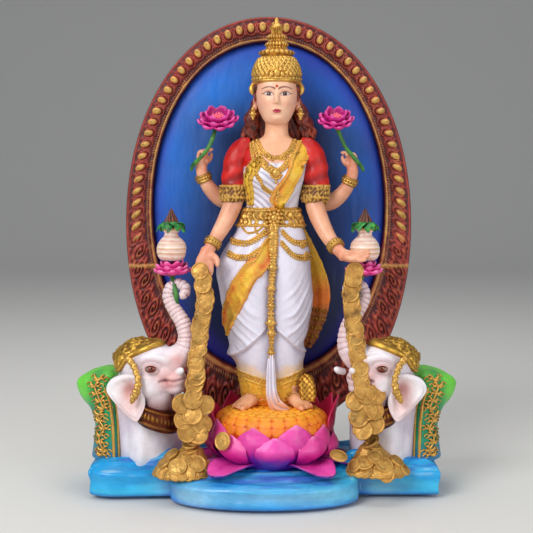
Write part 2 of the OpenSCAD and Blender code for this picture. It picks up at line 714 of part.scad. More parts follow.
module coconut() {
    color("forestgreen")
        translate([-elephant_x + 8.4, -9.4, 0])
            union() {
                rotate_extrude($fn = 36)
                    polygon([[0, 95], [3.0, 95], [3.2, 96.2], [2.0, 98.4], [0.3, 101], [0, 101]]);
                for (i = [0:4])
                    rotate([0, 0, 72 * i + 20])
                        limb([[1, 0, 95.5, 1.0, 0.4, 0], [3.2, 0, 95.7, 1.5, 0.4, 0], [5.2, 0, 96.4, 0.3, 0.2, 0]],
                             2, 8, [0, 0.02, 1]);
            }
}

felt_pad();
water_base();
back_frame();
back_panel();
frame_bosses();
lotus_lower_petals();
lotus_upper_petals();
seed_pod();
foot(-9.0, -14);  // foot_right
foot(9.2, 12);  // foot_left
skirt();
torso();
skirt_sash();
skirt_tassel();
pallu_shoulder();
pallu_tail();
waist_belt();
necklaces();
head();
hair();
earrings();
crown();
sleeve(-1);  // sleeve_right
sleeve(1);  // sleeve_left
arm_front_right();
arm_front_left();
arm_rear_right();
arm_rear_left();
bangles();
hand_lotus(-1);  // hand_lotus_right
hand_lotus(1);  // hand_lotus_left
coin_stream(-1);  // coin_stream_right
coin_stream(1);  // coin_stream_left
coin_heap(-1);  // coin_heap_right
coin_heap(1);  // coin_heap_left
loose_coins();
both_sides(-1) elephant_body();  // elephant_body_right
both_sides(1) elephant_body();  // elephant_body_left
both_sides(-1) elephant_head();  // elephant_head_right
both_sides(1) elephant_head();  // elephant_head_left
both_sides(-1) trunk();  // trunk_right
both_sides(1) trunk();  // trunk_left
both_sides(-1) elephant_ears();  // elephant_ears_right
both_sides(1) elephant_ears();  // elephant_ears_left
both_sides(-1) tusk();  // tusk_right
both_sides(1) tusk();  // tusk_left
both_sides(-1) headdress();  // headdress_right
both_sides(1) headdress();  // headdress_left
both_sides(-1) collar();  // collar_right
both_sides(1) collar();  // collar_left
both_sides(-1) saddle_cloth();  // saddle_cloth_right
both_sides(1) saddle_cloth();  // saddle_cloth_left
both_sides(-1) trunk_lotus();  // trunk_lotus_right
both_sides(1) trunk_lotus();  // trunk_lotus_left
both_sides(-1) kalash();  // kalash_right
both_sides(1) kalash();  // kalash_left
both_sides(-1) coconut();  // coconut_right
both_sides(1) coconut();  // coconut_left
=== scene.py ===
import math
import bpy
import numpy as np
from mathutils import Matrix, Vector
from mathutils.bvhtree import BVHTree


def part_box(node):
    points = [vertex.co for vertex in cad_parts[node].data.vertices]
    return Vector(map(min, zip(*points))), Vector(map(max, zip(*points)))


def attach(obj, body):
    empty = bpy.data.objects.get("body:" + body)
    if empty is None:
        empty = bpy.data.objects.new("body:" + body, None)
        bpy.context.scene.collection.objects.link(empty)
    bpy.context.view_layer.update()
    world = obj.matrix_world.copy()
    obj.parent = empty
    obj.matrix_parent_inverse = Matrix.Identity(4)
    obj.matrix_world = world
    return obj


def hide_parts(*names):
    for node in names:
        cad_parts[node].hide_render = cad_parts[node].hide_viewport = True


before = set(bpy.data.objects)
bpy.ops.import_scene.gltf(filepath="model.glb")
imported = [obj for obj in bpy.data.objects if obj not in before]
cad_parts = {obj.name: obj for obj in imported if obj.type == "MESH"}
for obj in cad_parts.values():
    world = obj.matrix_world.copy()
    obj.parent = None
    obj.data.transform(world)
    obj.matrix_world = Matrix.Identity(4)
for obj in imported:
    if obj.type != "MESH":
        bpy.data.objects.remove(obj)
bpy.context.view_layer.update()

# Painted resin statue. Everything below is worked out in millimetres in the CAD frame,
# and turned to metres when a mesh is made.
mm = 0.001


def cadLow(node):
    return [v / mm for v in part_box(node)[0]]


def cadHigh(node):
    return [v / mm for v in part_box(node)[1]]


# colour and material tools

def hexToLinear(code):  # "#rrggbb" in sRGB to linear red, green, blue
    parts = [int(code[i:i + 2], 16) / 255 for i in (1, 3, 5)]
    return [c / 12.92 if c <= 0.04045 else ((c + 0.055) / 1.055) ** 2.4 for c in parts]


def addNode(tree, kind, settings=None, links=None):
    # settings sets properties, or inputs when the name is an input; links joins inputs to sockets
    made = tree.nodes.new(kind)
    for key, value in (settings or {}).items():
        if isinstance(key, int) or key in made.inputs:
            made.inputs[key].default_value = value
        else:
            setattr(made, key, value)
    for key, socket in (links or {}).items():
        tree.links.new(socket, made.inputs[key])
    return made


def paintedResin(name, look):
    # Cast resin under brushed acrylic: the piece's own painted colour, broken up by thin and thick
    # patches of paint and fine brush streaks; the hollows are darkened: painted shade, and the paint's dark
    # wash.
    material = bpy.data.materials.new(name)
    material.use_nodes = True
    tree = material.node_tree
    shader = tree.nodes["Principled BSDF"]
    place = addNode(tree, "ShaderNodeTexCoord").outputs["Object"]
    paint = addNode(tree, "ShaderNodeAttribute", {"attribute_name": "paint"}).outputs["Color"]
    stretch = addNode(tree, "ShaderNodeMapping", {"Scale": look.get("streak", (1, 1, 1))}, {"Vector": place})
    streaks = addNode(tree, "ShaderNodeTexNoise",
                      {"Scale": 1 / (look["streakMm"] * mm), "Detail": 6, "Roughness": 0.6,
                       "Distortion": 0.6},
                      {"Vector": stretch.outputs[0]})
    patches = addNode(tree, "ShaderNodeTexNoise",
                      {"Scale": 1 / (look["patchMm"] * mm), "Detail": 3, "Roughness": 0.5}, {"Vector": place})
    thin = addNode(tree, "ShaderNodeMapRange",
                   {"From Min": 0.3, "From Max": 0.7, "To Min": 1 - look["uneven"],
                    "To Max": 1 + look["uneven"]},
                   {"Value": streaks.outputs[0]})
    thick = addNode(tree, "ShaderNodeMapRange",
                    {"From Min": 0.3, "From Max": 0.7, "To Min": 1 - look["uneven"] * 0.8,
                     "To Max": 1 + look["uneven"] * 0.8},
                    {"Value": patches.outputs[0]})
    both = addNode(tree, "ShaderNodeMath", {"operation": "MULTIPLY"},
                   {0: thin.outputs[0], 1: thick.outputs[0]})
    coat = addNode(tree, "ShaderNodeVectorMath", {"operation": "SCALE"}, {0: paint, "Scale": both.outputs[0]})
    # darkening in the hollows found by pointiness: painted shade, together with the paint's own wash
    edge = addNode(tree, "ShaderNodeNewGeometry").outputs["Pointiness"]
    hollow = addNode(tree, "ShaderNodeMapRange",
                     {"From Min": look.get("washFrom", 0.42), "From Max": 0.5, "To Min": look["washAndShade"],
                      "To Max": 0},
                     {"Value": edge})
    washedAndShaded = addNode(tree, "ShaderNodeMix",
                     {"data_type": "RGBA", 7: hexToLinear(look["washAndShadeColour"]) + [1]},
                     {0: hollow.outputs[0], 6: coat.outputs[0]})
    tree.links.new(washedAndShaded.outputs[2], shader.inputs["Base Color"])
    gloss = addNode(tree, "ShaderNodeMapRange",
                    {"From Min": 0.3, "From Max": 0.7, "To Min": look["rough"] - 0.07,
                     "To Max": look["rough"] + 0.09},
                    {"Value": patches.outputs[0]})
    tree.links.new(gloss.outputs[0], shader.inputs["Roughness"])
    bump = addNode(tree, "ShaderNodeBump", {"Strength": look["bump"], "Distance": look["bumpMm"] * mm},
                   {"Height": streaks.outputs[0]})
    tree.links.new(bump.outputs[0], shader.inputs["Normal"])
    shader.inputs["IOR"].default_value = 1.49  # acrylic
    shader.inputs["Metallic"].default_value = look.get("metal", 0)
    if look.get("metal", 0) > 0.3:
        shader.inputs["IOR"].default_value = 1.5
    shader.inputs["Coat Weight"].default_value = look.get("varnish", 0)
    shader.inputs["Coat Roughness"].default_value = 0.25
    if look.get("soft"):
        shader.inputs["Subsurface Weight"].default_value = look["soft"]
        shader.inputs["Subsurface Radius"].default_value = (0.0012, 0.0006, 0.0004)
        shader.inputs["Subsurface Scale"].default_value = 1
    return material


finishes = {
    # satin acrylic over resin, brushed: soft highlights, faint streaks about 0.5 mm apart
    "whitePaint": dict(streakMm=1.3, patchMm=7, uneven=0.05, washAndShade=0.35, washAndShadeColour="#8d7f93", rough=0.42,
                       bump=0.25, bumpMm=0.10, soft=0.08),
    # flesh acrylic sprayed thin: smooth, a touch of light goes into it
    "skinPaint": dict(streakMm=2.0, patchMm=5, uneven=0.05, washAndShade=0.5, washAndShadeColour="#9c4a36", rough=0.40,
                      bump=0.12, bumpMm=0.06, soft=0.12),
    # gold pigment in acrylic: metal flakes with a soft sheen, brown in the hollows from the paint's wash and
    # painted shade
    "goldPaint": dict(streakMm=0.7, patchMm=3, uneven=0.20, washAndShade=0.85, washAndShadeColour="#5a3410", rough=0.40,
                      bump=0.5, bumpMm=0.12, metal=0.72),
    # old-gold pigment on the coins: duller and browner, the flakes sit flat
    "coinPaint": dict(streakMm=0.9, patchMm=4, uneven=0.16, washAndShade=0.8, washAndShadeColour="#54320f", rough=0.46,
                      bump=0.5, bumpMm=0.12, metal=0.55),
    # cobalt acrylic laid on with a fine brush: vertical streaks, satin
    "cobaltPaint": dict(streakMm=0.8, streak=(1, 1, 0.16), patchMm=14, uneven=0.11, washAndShade=0.0,
                        washAndShadeColour="#04103c", rough=0.56, bump=0.35, bumpMm=0.10),
    # cyan acrylic on the water, brushed along the waves
    "waterPaint": dict(streakMm=1.6, streak=(0.28, 1, 1), patchMm=9, uneven=0.12, washAndShade=0.4,
                       washAndShadeColour="#0a5f9e", rough=0.33, bump=0.3, bumpMm=0.14, varnish=0.2),
    # maroon acrylic with gold dragged over the relief
    "maroonPaint": dict(streakMm=0.8, patchMm=5, uneven=0.20, washAndShade=0.6, washAndShadeColour="#2c070a", rough=0.50,
                        bump=0.5, bumpMm=0.14),
    # magenta acrylic blended wet into violet: soft and even
    "petalPaint": dict(streakMm=1.1, patchMm=5, uneven=0.09, washAndShade=0.4, washAndShadeColour="#4b0a58", rough=0.38,
                       bump=0.2, bumpMm=0.08, soft=0.05, varnish=0.1),
    # red, orange and yellow acrylic on cast cloth texture
    "clothPaint": dict(streakMm=0.6, patchMm=4, uneven=0.14, washAndShade=0.6, washAndShadeColour="#7a2408", rough=0.45,
                       bump=0.5, bumpMm=0.12),
    # red-brown acrylic on cast curls, nearly matt
    "hairPaint": dict(streakMm=0.7, patchMm=3, uneven=0.2, washAndShade=0.8, washAndShadeColour="#140302", rough=0.45,
                      bump=0.4, bumpMm=0.12),
    # varnished eyes and tusks: a clear wet highlight
    "glossPaint": dict(streakMm=1.5, patchMm=4, uneven=0.03, washAndShade=0.2, washAndShadeColour="#5a3430", rough=0.22,
                       bump=0.05, bumpMm=0.04, varnish=0.6),
    # green acrylic blended into teal
    "greenPaint": dict(streakMm=0.9, patchMm=5, uneven=0.12, washAndShade=0.6, washAndShadeColour="#053d2a", rough=0.40,
                       bump=0.4, bumpMm=0.12),
}
materials = {key: paintedResin(key, look) for key, look in finishes.items()}
goldTone = "#d2a352"  # jewellery, headdress cords and vine


# mesh tools


def bell(x, middle, width):  # smooth bump, 1 at the middle
    return np.exp(-((x - middle) / width) ** 2)


def unit(x):
    return np.clip(x, 0, 1)


def roundAngles(count):  # angles once round, the last one short of the first
    return np.linspace(0, 2 * math.pi, count, endpoint=False)


def runAlong(path):  # distance along a line of points
    return np.concatenate([[0], np.cumsum(np.linalg.norm(np.diff(path, axis=0), axis=1))])


def toUnit(rows):  # directions made one long
    return rows / (np.linalg.norm(rows, axis=-1, keepdims=True) + 1e-12)


def outwardFrom(a, x):  # level directions at angles a, 0 being the front, in the shape of x
    return np.stack([np.sin(a) + 0 * x, -np.cos(a) + 0 * x, 0 * x], -1)


def withEnds(paint, first, last):  # colours of a closed loft: its rings, then its two end points
    return np.concatenate([paint.reshape(-1, 3), [first, last]])


def curvePoints(keys, steps):  # smooth curve through rows of numbers
    keys = np.asarray(keys, float)
    n = len(keys)
    out = []
    for i in range(n - 1):
        a, b, c, d = keys[max(i - 1, 0)], keys[i], keys[i + 1], keys[min(i + 2, n - 1)]
        for j in range(steps):
            t = j / steps
            out.append(0.5 * (2 * b + (c - a) * t + (2 * a - 5 * b + 4 * c - d) * t * t
                              + (3 * b - a - 3 * c + d) * t ** 3))
    out.append(keys[-1])
    return np.array(out)


def ramp(low, high, x):
    t = unit((x - low) / (high - low))
    return t * t * (3 - 2 * t)


def noiseAt(points, sizeMm, seed=0, octaves=3):  # smooth value noise, about -1 to 1
    total, gain = 0, 1.0
    p = np.asarray(points, float) / sizeMm
    for k in range(octaves):
        cell = np.floor(p).astype(np.int64)
        f = p - cell
        f = f * f * (3 - 2 * f)
        value = 0
        for dx in (0, 1):
            for dy in (0, 1):
                for dz in (0, 1):
                    h = (cell[..., 0] + dx) * 374761393 + (cell[..., 1] + dy) * 668265263 + (cell[..., 2]
                            + dz) * 2147483647 + (seed + k) * 974634777
                    h = (h ^ (h >> 13)) * 1274126177
                    h = ((h ^ (h >> 16)) & 0xffff) / 32767.5 - 1
                    wx = f[..., 0] if dx else 1 - f[..., 0]
                    wy = f[..., 1] if dy else 1 - f[..., 1]
                    wz = f[..., 2] if dz else 1 - f[..., 2]
                    value = value + h * wx * wy * wz
        total = total + value * gain
        gain *= 0.5
        p = p * 2.03
    return total


def gridFaces(rows, cols, wrap=True, start=0):
    i, j = np.meshgrid(np.arange(rows - 1), np.arange(cols if wrap else cols - 1), indexing="ij")
    a = start + i * cols + j
    b = start + i * cols + (j + 1) % cols
    return np.stack([a, b, b + cols, a + cols], -1).reshape(-1, 4).tolist()


def closedLoft(rings):  # rings is rows x cols x 3, wrapped across, with both ends closed
    rings = np.asarray(rings, float)
    rows, cols = rings.shape[:2]
    verts = np.concatenate([rings.reshape(-1, 3), rings[0].mean(0)[None], rings[-1].mean(0)[None]])
    faces = gridFaces(rows, cols)
    first, last = rows * cols, rows * cols + 1
    for j in range(cols):
        k = (j + 1) % cols
        faces.append([k, j, first])
        faces.append([(rows - 1) * cols + j, (rows - 1) * cols + k, last])
    return verts, faces


def turnFrames(path, up):
    ahead = np.gradient(path, axis=0)
    ahead = toUnit(ahead)
    side = np.cross(np.asarray(up, float), ahead)
    side = toUnit(side)
    return ahead, side, np.cross(ahead, side)


def limbRings(keys, steps=8, cols=24, up=(0, 1, 0), power=2.0):  # rows x, y, z, half width, half thickness
    p = curvePoints(keys, steps)
    _, side, lift = turnFrames(p[:, :3], up)
    a = roundAngles(cols)
    c, s = np.cos(a), np.sin(a)
    c, s = np.sign(c) * np.abs(c) ** (2 / power), np.sign(s) * np.abs(s) ** (2 / power)
    return p[:, None, :3] + p[:, 3, None, None] * c[None, :, None] * side[:, None] + p[:, 4, None,
            None] * s[None, :, None] * lift[:, None]


# rows x, y, z, half width, half depth; angle 0 is the front
def levelRings(keys, steps=8, cols=96, power=2.0):
    p = curvePoints(keys, steps)
    a = roundAngles(cols)
    c, s = np.sin(a), -np.cos(a)
    c, s = np.sign(c) * np.abs(c) ** (2 / power), np.sign(s) * np.abs(s) ** (2 / power)
    x = p[:, None, 0] + p[:, 3, None] * c
    y = p[:, None, 1] + p[:, 4, None] * s
    return np.stack([x, y, np.repeat(p[:, None, 2], cols, 1)], -1)


def ballMesh(centre, radii, cols=24, rows=14):
    t = np.linspace(0.02, math.pi - 0.02, rows)
    a = roundAngles(cols)
    ring = np.stack([np.sin(t)[:, None] * np.cos(a), np.sin(t)[:, None] * np.sin(a),
                     np.repeat(-np.cos(t)[:, None], cols, 1)], -1)
    return closedLoft(ring * np.asarray(radii, float) + np.asarray(centre, float))


def mergeMeshes(parts):
    verts, faces, count = [], [], 0
    for v, f in parts:
        verts.append(np.asarray(v, float))
        faces += [[i + count for i in face] for face in f]
        count += len(v)
    return np.concatenate(verts), faces


def turned(verts, axis, degrees, about=(0, 0, 0)):
    a = math.radians(degrees)
    k = np.asarray(axis, float) / np.linalg.norm(axis)
    v = np.asarray(verts, float) - about
    return v * math.cos(a) + np.cross(k, v) * math.sin(a) + np.outer(v @ k, k) * (1 - math.cos(a)) + about


def colours(*codes):
    return [np.array(hexToLinear(c)) for c in codes]


def mix(a, b, t):
    return a + (b - a) * np.asarray(t)[..., None]


def makePiece(name, mesh, material, paint, nodes=(), smooth=True):
    verts, faces = mesh
    data = bpy.data.meshes.new(name)
    data.from_pydata((np.asarray(verts) * mm).tolist(), [], faces)
    data.update()
    if smooth:
        data.polygons.foreach_set("use_smooth", [True] * len(data.polygons))
    piece = bpy.data.objects.new(name, data)
    bpy.context.scene.collection.objects.link(piece)
    data.materials.append(materials[material])
    setPaint(piece, paint)
    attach(piece, "root")
    if nodes:
        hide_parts(*nodes)
    return piece


def setPaint(piece, paint):  # one colour, or one row of colour for each vertex
    data = piece.data
    count = len(data.vertices)
    rows = np.ones((count, 4))
    rows[:, :3] = np.broadcast_to(np.asarray(hexToLinear(paint) if isinstance(paint, str) else paint),
                                  (count, 3))
    layer = data.attributes.get("paint") or data.attributes.new("paint", "FLOAT_COLOR", "POINT")
    layer.data.foreach_set("color", rows.ravel())


def normalsOf(piece):
    out = np.empty(len(piece.data.vertices) * 3)
    piece.data.vertices.foreach_get("normal", out)
    return out.reshape(-1, 3)


def moveVerts(piece, points):
    piece.data.vertices.foreach_set("co", (np.asarray(points) * mm).ravel())
    piece.data.update()


def melt(parts, voxel, smoothing=6):  # overlapping closed forms become one cast skin
    verts, faces = mergeMeshes(parts)
    data = bpy.data.meshes.new("melt")
    data.from_pydata((verts * mm).tolist(), [], faces)
    raw = bpy.data.objects.new("melt", data)
    bpy.context.scene.collection.objects.link(raw)
    skin = raw.modifiers.new("skin", "REMESH")
    skin.mode, skin.voxel_size, skin.adaptivity = "VOXEL", voxel * mm, 0
    ease = raw.modifiers.new("ease", "SMOOTH")
    ease.factor, ease.iterations = 0.5, smoothing
    out = bpy.data.meshes.new_from_object(raw.evaluated_get(bpy.context.evaluated_depsgraph_get()))
    bpy.data.objects.remove(raw)
    points = np.empty(len(out.vertices) * 3)
    out.vertices.foreach_get("co", points)
    result = points.reshape(-1, 3) / mm, [list(p.vertices) for p in out.polygons]
    bpy.data.meshes.remove(out)
    return result


def treeOf(mesh):  # for laying trim on a surface; works in mm
    verts, faces = mesh
    return BVHTree.FromPolygons([tuple(v) for v in np.asarray(verts).tolist()], faces)


def onSurface(tree, points, lift=0.0, ahead=None):
    # nearest place on the surface, or the place hit when looking along ahead
    spots, normals = [], []
    for p in np.asarray(points, float):
        hit = None
        if ahead is not None:
            start = Vector(p) - Vector(ahead) * 40
            hit = tree.ray_cast(start, Vector(ahead))
            if hit[0] is None:
                hit = None
        if hit is None:
            hit = tree.find_nearest(Vector(p))
        spots.append(hit[0])
        normals.append(hit[1])
    spots, normals = np.array(spots), np.array(normals)
    return spots + normals * lift, normals


def ribbon(tree, keys, profile, steps=10, ahead=None, rippleMm=0.0, rippleEvery=1.5, sink=0.35):
    # a strip laid on a surface; keys are rows x, y, z, half width;
    # profile is its height in mm at each step across
    p = curvePoints(keys, steps)
    spots, normals = onSurface(tree, p[:, :3], 0, ahead)
    for _ in range(3):
        normals[1:-1] = normals[:-2] + normals[1:-1] * 2 + normals[2:]
        normals = toUnit(normals)
    along = np.gradient(spots, axis=0)
    along = toUnit(along)
    across = np.cross(along, normals)
    length = runAlong(spots)
    ripple = 1 + rippleMm * np.sin(2 * math.pi * length / rippleEvery)
    u = np.linspace(-1, 1, len(profile))
    top, under = [], []
    for k, w in enumerate(u):
        flat = spots + across * (w * p[:, 3])[:, None] + normals * 0.6
        on, n = onSurface(tree, flat)
        top.append(on + normals * (profile[k] * ripple)[:, None])
        under.append(on - normals * sink)
    rings = np.stack(top + under[::-1], 1)
    return closedLoft(rings), length, u


def copiesAlong(path, template, spacing, size=None, up=(0, 0, 1), normals=None):
    # template mesh repeated along a path; its x runs along the path and its z stands off the surface
    path = np.asarray(path, float)
    gaps = runAlong(path)
    count = max(2, int(gaps[-1] / spacing))
    at = np.linspace(0, gaps[-1], count)
    spots = np.stack([np.interp(at, gaps, path[:, k]) for k in range(3)], 1)
    ahead = np.gradient(spots, axis=0)
    ahead = toUnit(ahead)
    if normals is None:
        normals = np.broadcast_to(np.asarray(up, float), path.shape)
    stand = np.stack([np.interp(at, gaps, normals[:, k]) for k in range(3)], 1)
    side = np.cross(stand, ahead)
    side = toUnit(side)
    stand = np.cross(ahead, side)
    tv, tf = template
    tv = np.asarray(tv)
    parts = []
    for k in range(count):
        s = 1 if size is None else size(k, count)
        parts.append((spots[k] + s * (tv[:, :1] * ahead[k] + tv[:, 1:2] * side[k] + tv[:, 2:] * stand[k]),
                      tf))
    return mergeMeshes(parts)


bead = ballMesh((0, 0, 0), (1, 1, 1), 12, 8)


def scaled(mesh, x, y=None, z=None, shift=(0, 0, 0)):
    return np.asarray(mesh[0]) * (x, y or x, z or y or x) + shift, mesh[1]


# camera, light and floor

view = dict(distance=386, height=110, down=4.34, lens=73.7)
lens = bpy.data.cameras.new("camera")
lens.lens, lens.sensor_width, lens.clip_start = view["lens"], 36, 0.01
camera = bpy.data.objects.new("camera", lens)
camera.location = (0, -view["distance"] * mm, view["height"] * mm)
camera.rotation_euler = (math.radians(90 - view["down"]), 0, 0)
bpy.context.scene.collection.objects.link(camera)
bpy.context.scene.camera = camera

lamps = {  # soft boxes: place in mm, size in mm, power in watts
    "key": dict(at=(-420, -560, 520), size=420, power=4.7),
    "fill": dict(at=(480, -520, 260), size=520, power=1.7),
    "top": dict(at=(0, 60, 640), size=420, power=1.6),
}
for name, lamp in lamps.items():
    light = bpy.data.lights.new(name, "AREA")
    light.size, light.energy = lamp["size"] * mm, lamp["power"]
    holder = bpy.data.objects.new(name, light)
    holder.location = Vector(lamp["at"]) * mm
    holder.rotation_euler = (Vector((0, 0, 80)) * mm - holder.location).to_track_quat("-Z", "Y").to_euler()
    bpy.context.scene.collection.objects.link(holder)

world = bpy.data.worlds.new("studio")
world.use_nodes = True
world.node_tree.nodes["Background"].inputs["Color"].default_value = (0.80, 0.84, 0.90, 1)
world.node_tree.nodes["Background"].inputs["Strength"].default_value = 0.34
bpy.context.scene.world = world
bpy.context.scene.view_settings.view_transform = "Standard"

# paper sweep: flat under the statue, bending up well behind it; y, z in metres
bend = [(1.0 + 0.8 * math.sin(t), 0.8 - 0.8 * math.cos(t)) for t in np.linspace(0, math.pi / 2, 24)]
profile = [(-9, 0), (0, 0)] + bend + [(1.8, 4)]
floorData = bpy.data.meshes.new("floor")
floorData.from_pydata([(x, y, z) for y, z in profile for x in (-9, 9)], [],
                      [(2 * k, 2 * k + 1, 2 * k + 3, 2 * k + 2) for k in range(len(profile) - 1)])
floorData.polygons.foreach_set("use_smooth", [True] * len(floorData.polygons))
floor = bpy.data.objects.new("floor", floorData)
bpy.context.scene.collection.objects.link(floor)
paper = bpy.data.materials.new("paperSweep")  # matt paper backdrop
paper.use_nodes = True
paper.node_tree.nodes["Principled BSDF"].inputs["Base Color"].default_value = hexToLinear("#d9d7d3") + [1]
paper.node_tree.nodes["Principled BSDF"].inputs["Roughness"].default_value = 0.9
floorData.materials.append(paper)
print("stage, camera and light ready")

# base of cast water

base = dict(width=124, lobe=16, top=12.0, back=29, waveMm=0.42, points=220, foot=1.9)


def frontAt(x):
    lobe = np.where(np.abs(x) < 33, base["lobe"] * np.sqrt(unit(1 - (x / 33) ** 2)), 0)
    corner = np.maximum(0, np.abs(x) / (base["width"] / 2) - 0.85) / 0.15
    return np.minimum(-13 - lobe + np.maximum(0, 3 - lobe), -10.2 + 0.05 * x + 4 * corner ** 2)


def baseOutline(inset, side):  # the plan as evenly spaced points, front first
    w = base["width"] - 2 * side
    x = np.linspace(-w / 2, w / 2, 400)
    front = np.stack([x - 0.7, frontAt(x) + inset], 1)
    h = w / 2
    rest = np.array([[h - 0.7, base["back"] - 5], [h - 2.4, base["back"] - 1.6 - side],
                     [h - 5.7, base["back"] - side],
                     [-h + 4.3, base["back"] - side], [-h + 1, base["back"] - 1.6 - side],
                     [-h - 0.7, base["back"] - 5]])
    loop = np.concatenate([front, rest, front[:1]])
    run = runAlong(loop)
    at = np.linspace(0, run[-1], base["points"] * 3, endpoint=False)
    return np.stack([np.interp(at, run, loop[:, 0]), np.interp(at, run, loop[:, 1])], 1)


def waterPaint(p):
    deep, mid, light, foam, violet = colours("#0a64c8", "#0a98d8", "#35b8e2", "#b4dade", "#6f62c4")
    n = noiseAt(p * (0.35, 1, 1), 9, 3)
    fine = noiseAt(p * (0.16, 1.0, 1.0), 1.5, 5)
    above = ramp(7.8, 9.6, p[:, 2])
    c = mix(mid, light, ramp(-0.4, 1.0, n + 0.4 * fine))
    c = mix(c, deep, ramp(0.0, 0.7, fine + 0.3 * n) * above * 0.8)
    c = mix(c, foam, ramp(0.45, 0.9, -fine) * above * 0.35)
    pale = 0.75 * bell(p[:, 0], -26, 9) * ramp(11, 4, p[:, 2]) + 0.55 * bell(p[:, 0], 2, 24) * bell(p[:, 2],
            5.2, 2.6) + 0.3 * bell(p[:, 0], 40, 8) * ramp(9, 4, p[:, 2])
    c = mix(c, foam, unit(pale * (0.75 + 0.4 * n)))
    # darker towards the foot of the wall and in the notches beside the front lobe: painted shade
    c = mix(c, deep, ramp(3.6, 1.4, p[:, 2]) * 0.55 + 0.45 * bell(np.abs(p[:, 0]), 33,
            3.0) * (p[:, 1] < -8) * (1 - above))
    # violet patch on the water under the front petals: painted shade
    c = mix(c, violet, unit(np.exp(-((p[:, 0] - 4) ** 2 / 300 + (p[:, 1] + 24) ** 2 / 9)) * 0.45))
    return c


def makeBase():
    levels = [(0.9, 1.2, 1.2), (0.1, 0.5, 2.0), (0.3, 0.9, 3.6), (0.5, 0.9, 5.0), (0.1, 0.2, 6.6),
              (0.0, 0.0, 7.4),
              (0.5, 0.2, 8.2), (1.5, 0.6, 8.8), (2.8, 1.0, 9.4)]
    levels = curvePoints(levels, 4)
    rings = np.array([np.column_stack([baseOutline(i - base["foot"], s),
                                       np.full(base["points"] * 3, z)]) for i, s, z in levels])
    x, y = rings[..., 0], rings[..., 1]
    flank = ramp(26, 40, np.abs(x))
    back_ = ramp(0, 18, y)
    rings[..., 2] *= 1 + 0.20 * flank + 0.16 * back_
    outward = rings - rings.mean((0, 1))
    outward[..., 2] = 0
    outward = toUnit(outward)
    swell = (0.28 * np.sin(x / 7.0 + rings[..., 2] * 0.9) + 0.16 * noiseAt(rings, 5, 2)) * ramp(1.2, 3,
            rings[..., 2]) * (y < base["back"] - 3)
    rings = rings + outward * (swell - 0.25)[..., None]
    lip = rings[-1]
    inner = []
    for k in range(1, 71):  # the water surface, rising from the lip towards the lotus
        t = k / 70
        ring = lip * (1 - t) + np.array([0, 8, 0]) * t
        inland = np.linalg.norm(ring[:, :2] - lip[:, :2], axis=1)
        climb = ramp(0, 9, inland)
        level = lip[:, 2] * (1 - climb) + base["top"] * climb
        wave = base["waveMm"] * np.sin(inland * 2.1 + 1.6 * noiseAt(ring * (0.5, 1, 1), 9, 4)) * (0.6
                + 0.6 * noiseAt(ring * (0.4, 1, 1), 7, 9))
        wide = np.abs(ring[:, 0])
        crest = (1.8 + 3.0 * ramp(44, 33, wide)) * ramp(23, 31, wide) * bell(ring[:, 1], -7.5, 5.5) * ramp(0,
                3.5, inland)
        ring[:, 2] = level + wave * ramp(0, 0.04, t) + 0.18 * noiseAt(ring * (0.25, 1, 1), 1.8, 9) + crest
        inner.append(ring)
    shell = np.concatenate([rings, np.array(inner)])
    mesh = closedLoft(shell)
    makePiece("water_base_cast", mesh, "waterPaint", waterPaint(mesh[0]), ["water_base"])


makeBase()

# green felt: short dense fibres, no shine; the pad keeps its CAD shape
felt = bpy.data.materials.new("pressedFelt")
felt.use_nodes = True
feltTree = felt.node_tree
feltPlace = addNode(feltTree, "ShaderNodeTexCoord").outputs["Object"]
fibres = addNode(feltTree, "ShaderNodeTexNoise", {"Scale": 1 / (0.6 * mm), "Detail": 5},
                 {"Vector": feltPlace})  # fibres about 0.3 mm, drawn double
feltTone = addNode(feltTree, "ShaderNodeMix", {"data_type": "RGBA", 6: hexToLinear("#12301c") + [1],
                                               7: hexToLinear("#2a5a38") + [1]}, {0: fibres.outputs[0]})
feltTree.links.new(feltTone.outputs[2], feltTree.nodes["Principled BSDF"].inputs["Base Color"])
feltNap = addNode(feltTree, "ShaderNodeBump", {"Strength": 0.5, "Distance": 0.2 * mm},
                  {"Height": fibres.outputs[0]})
feltTree.links.new(feltNap.outputs[0], feltTree.nodes["Principled BSDF"].inputs["Normal"])
feltTree.nodes["Principled BSDF"].inputs["Roughness"].default_value = 0.95
feltTree.nodes["Principled BSDF"].inputs["Sheen Weight"].default_value = 0.3
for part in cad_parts["felt_pad"].material_slots:
    part.material = felt
print("base ready")

# oval frame and blue panel

plate = dict(x=0.8, width=106.4, height=154.3, top=171.2, band=10.0, depth=11.0, back=29.0, foot=22.0,
             bosses=88, bossMm=1.45, fullness=2.08)


def ovalPoint(a, w, h, cz, power=None):
    c, s = np.cos(a), np.sin(a)
    e = 2 / (power or plate["fullness"])
    return plate["x"] + w / 2 * np.sign(c) * np.abs(c) ** e, cz + h / 2 * np.sign(s) * np.abs(s) ** e


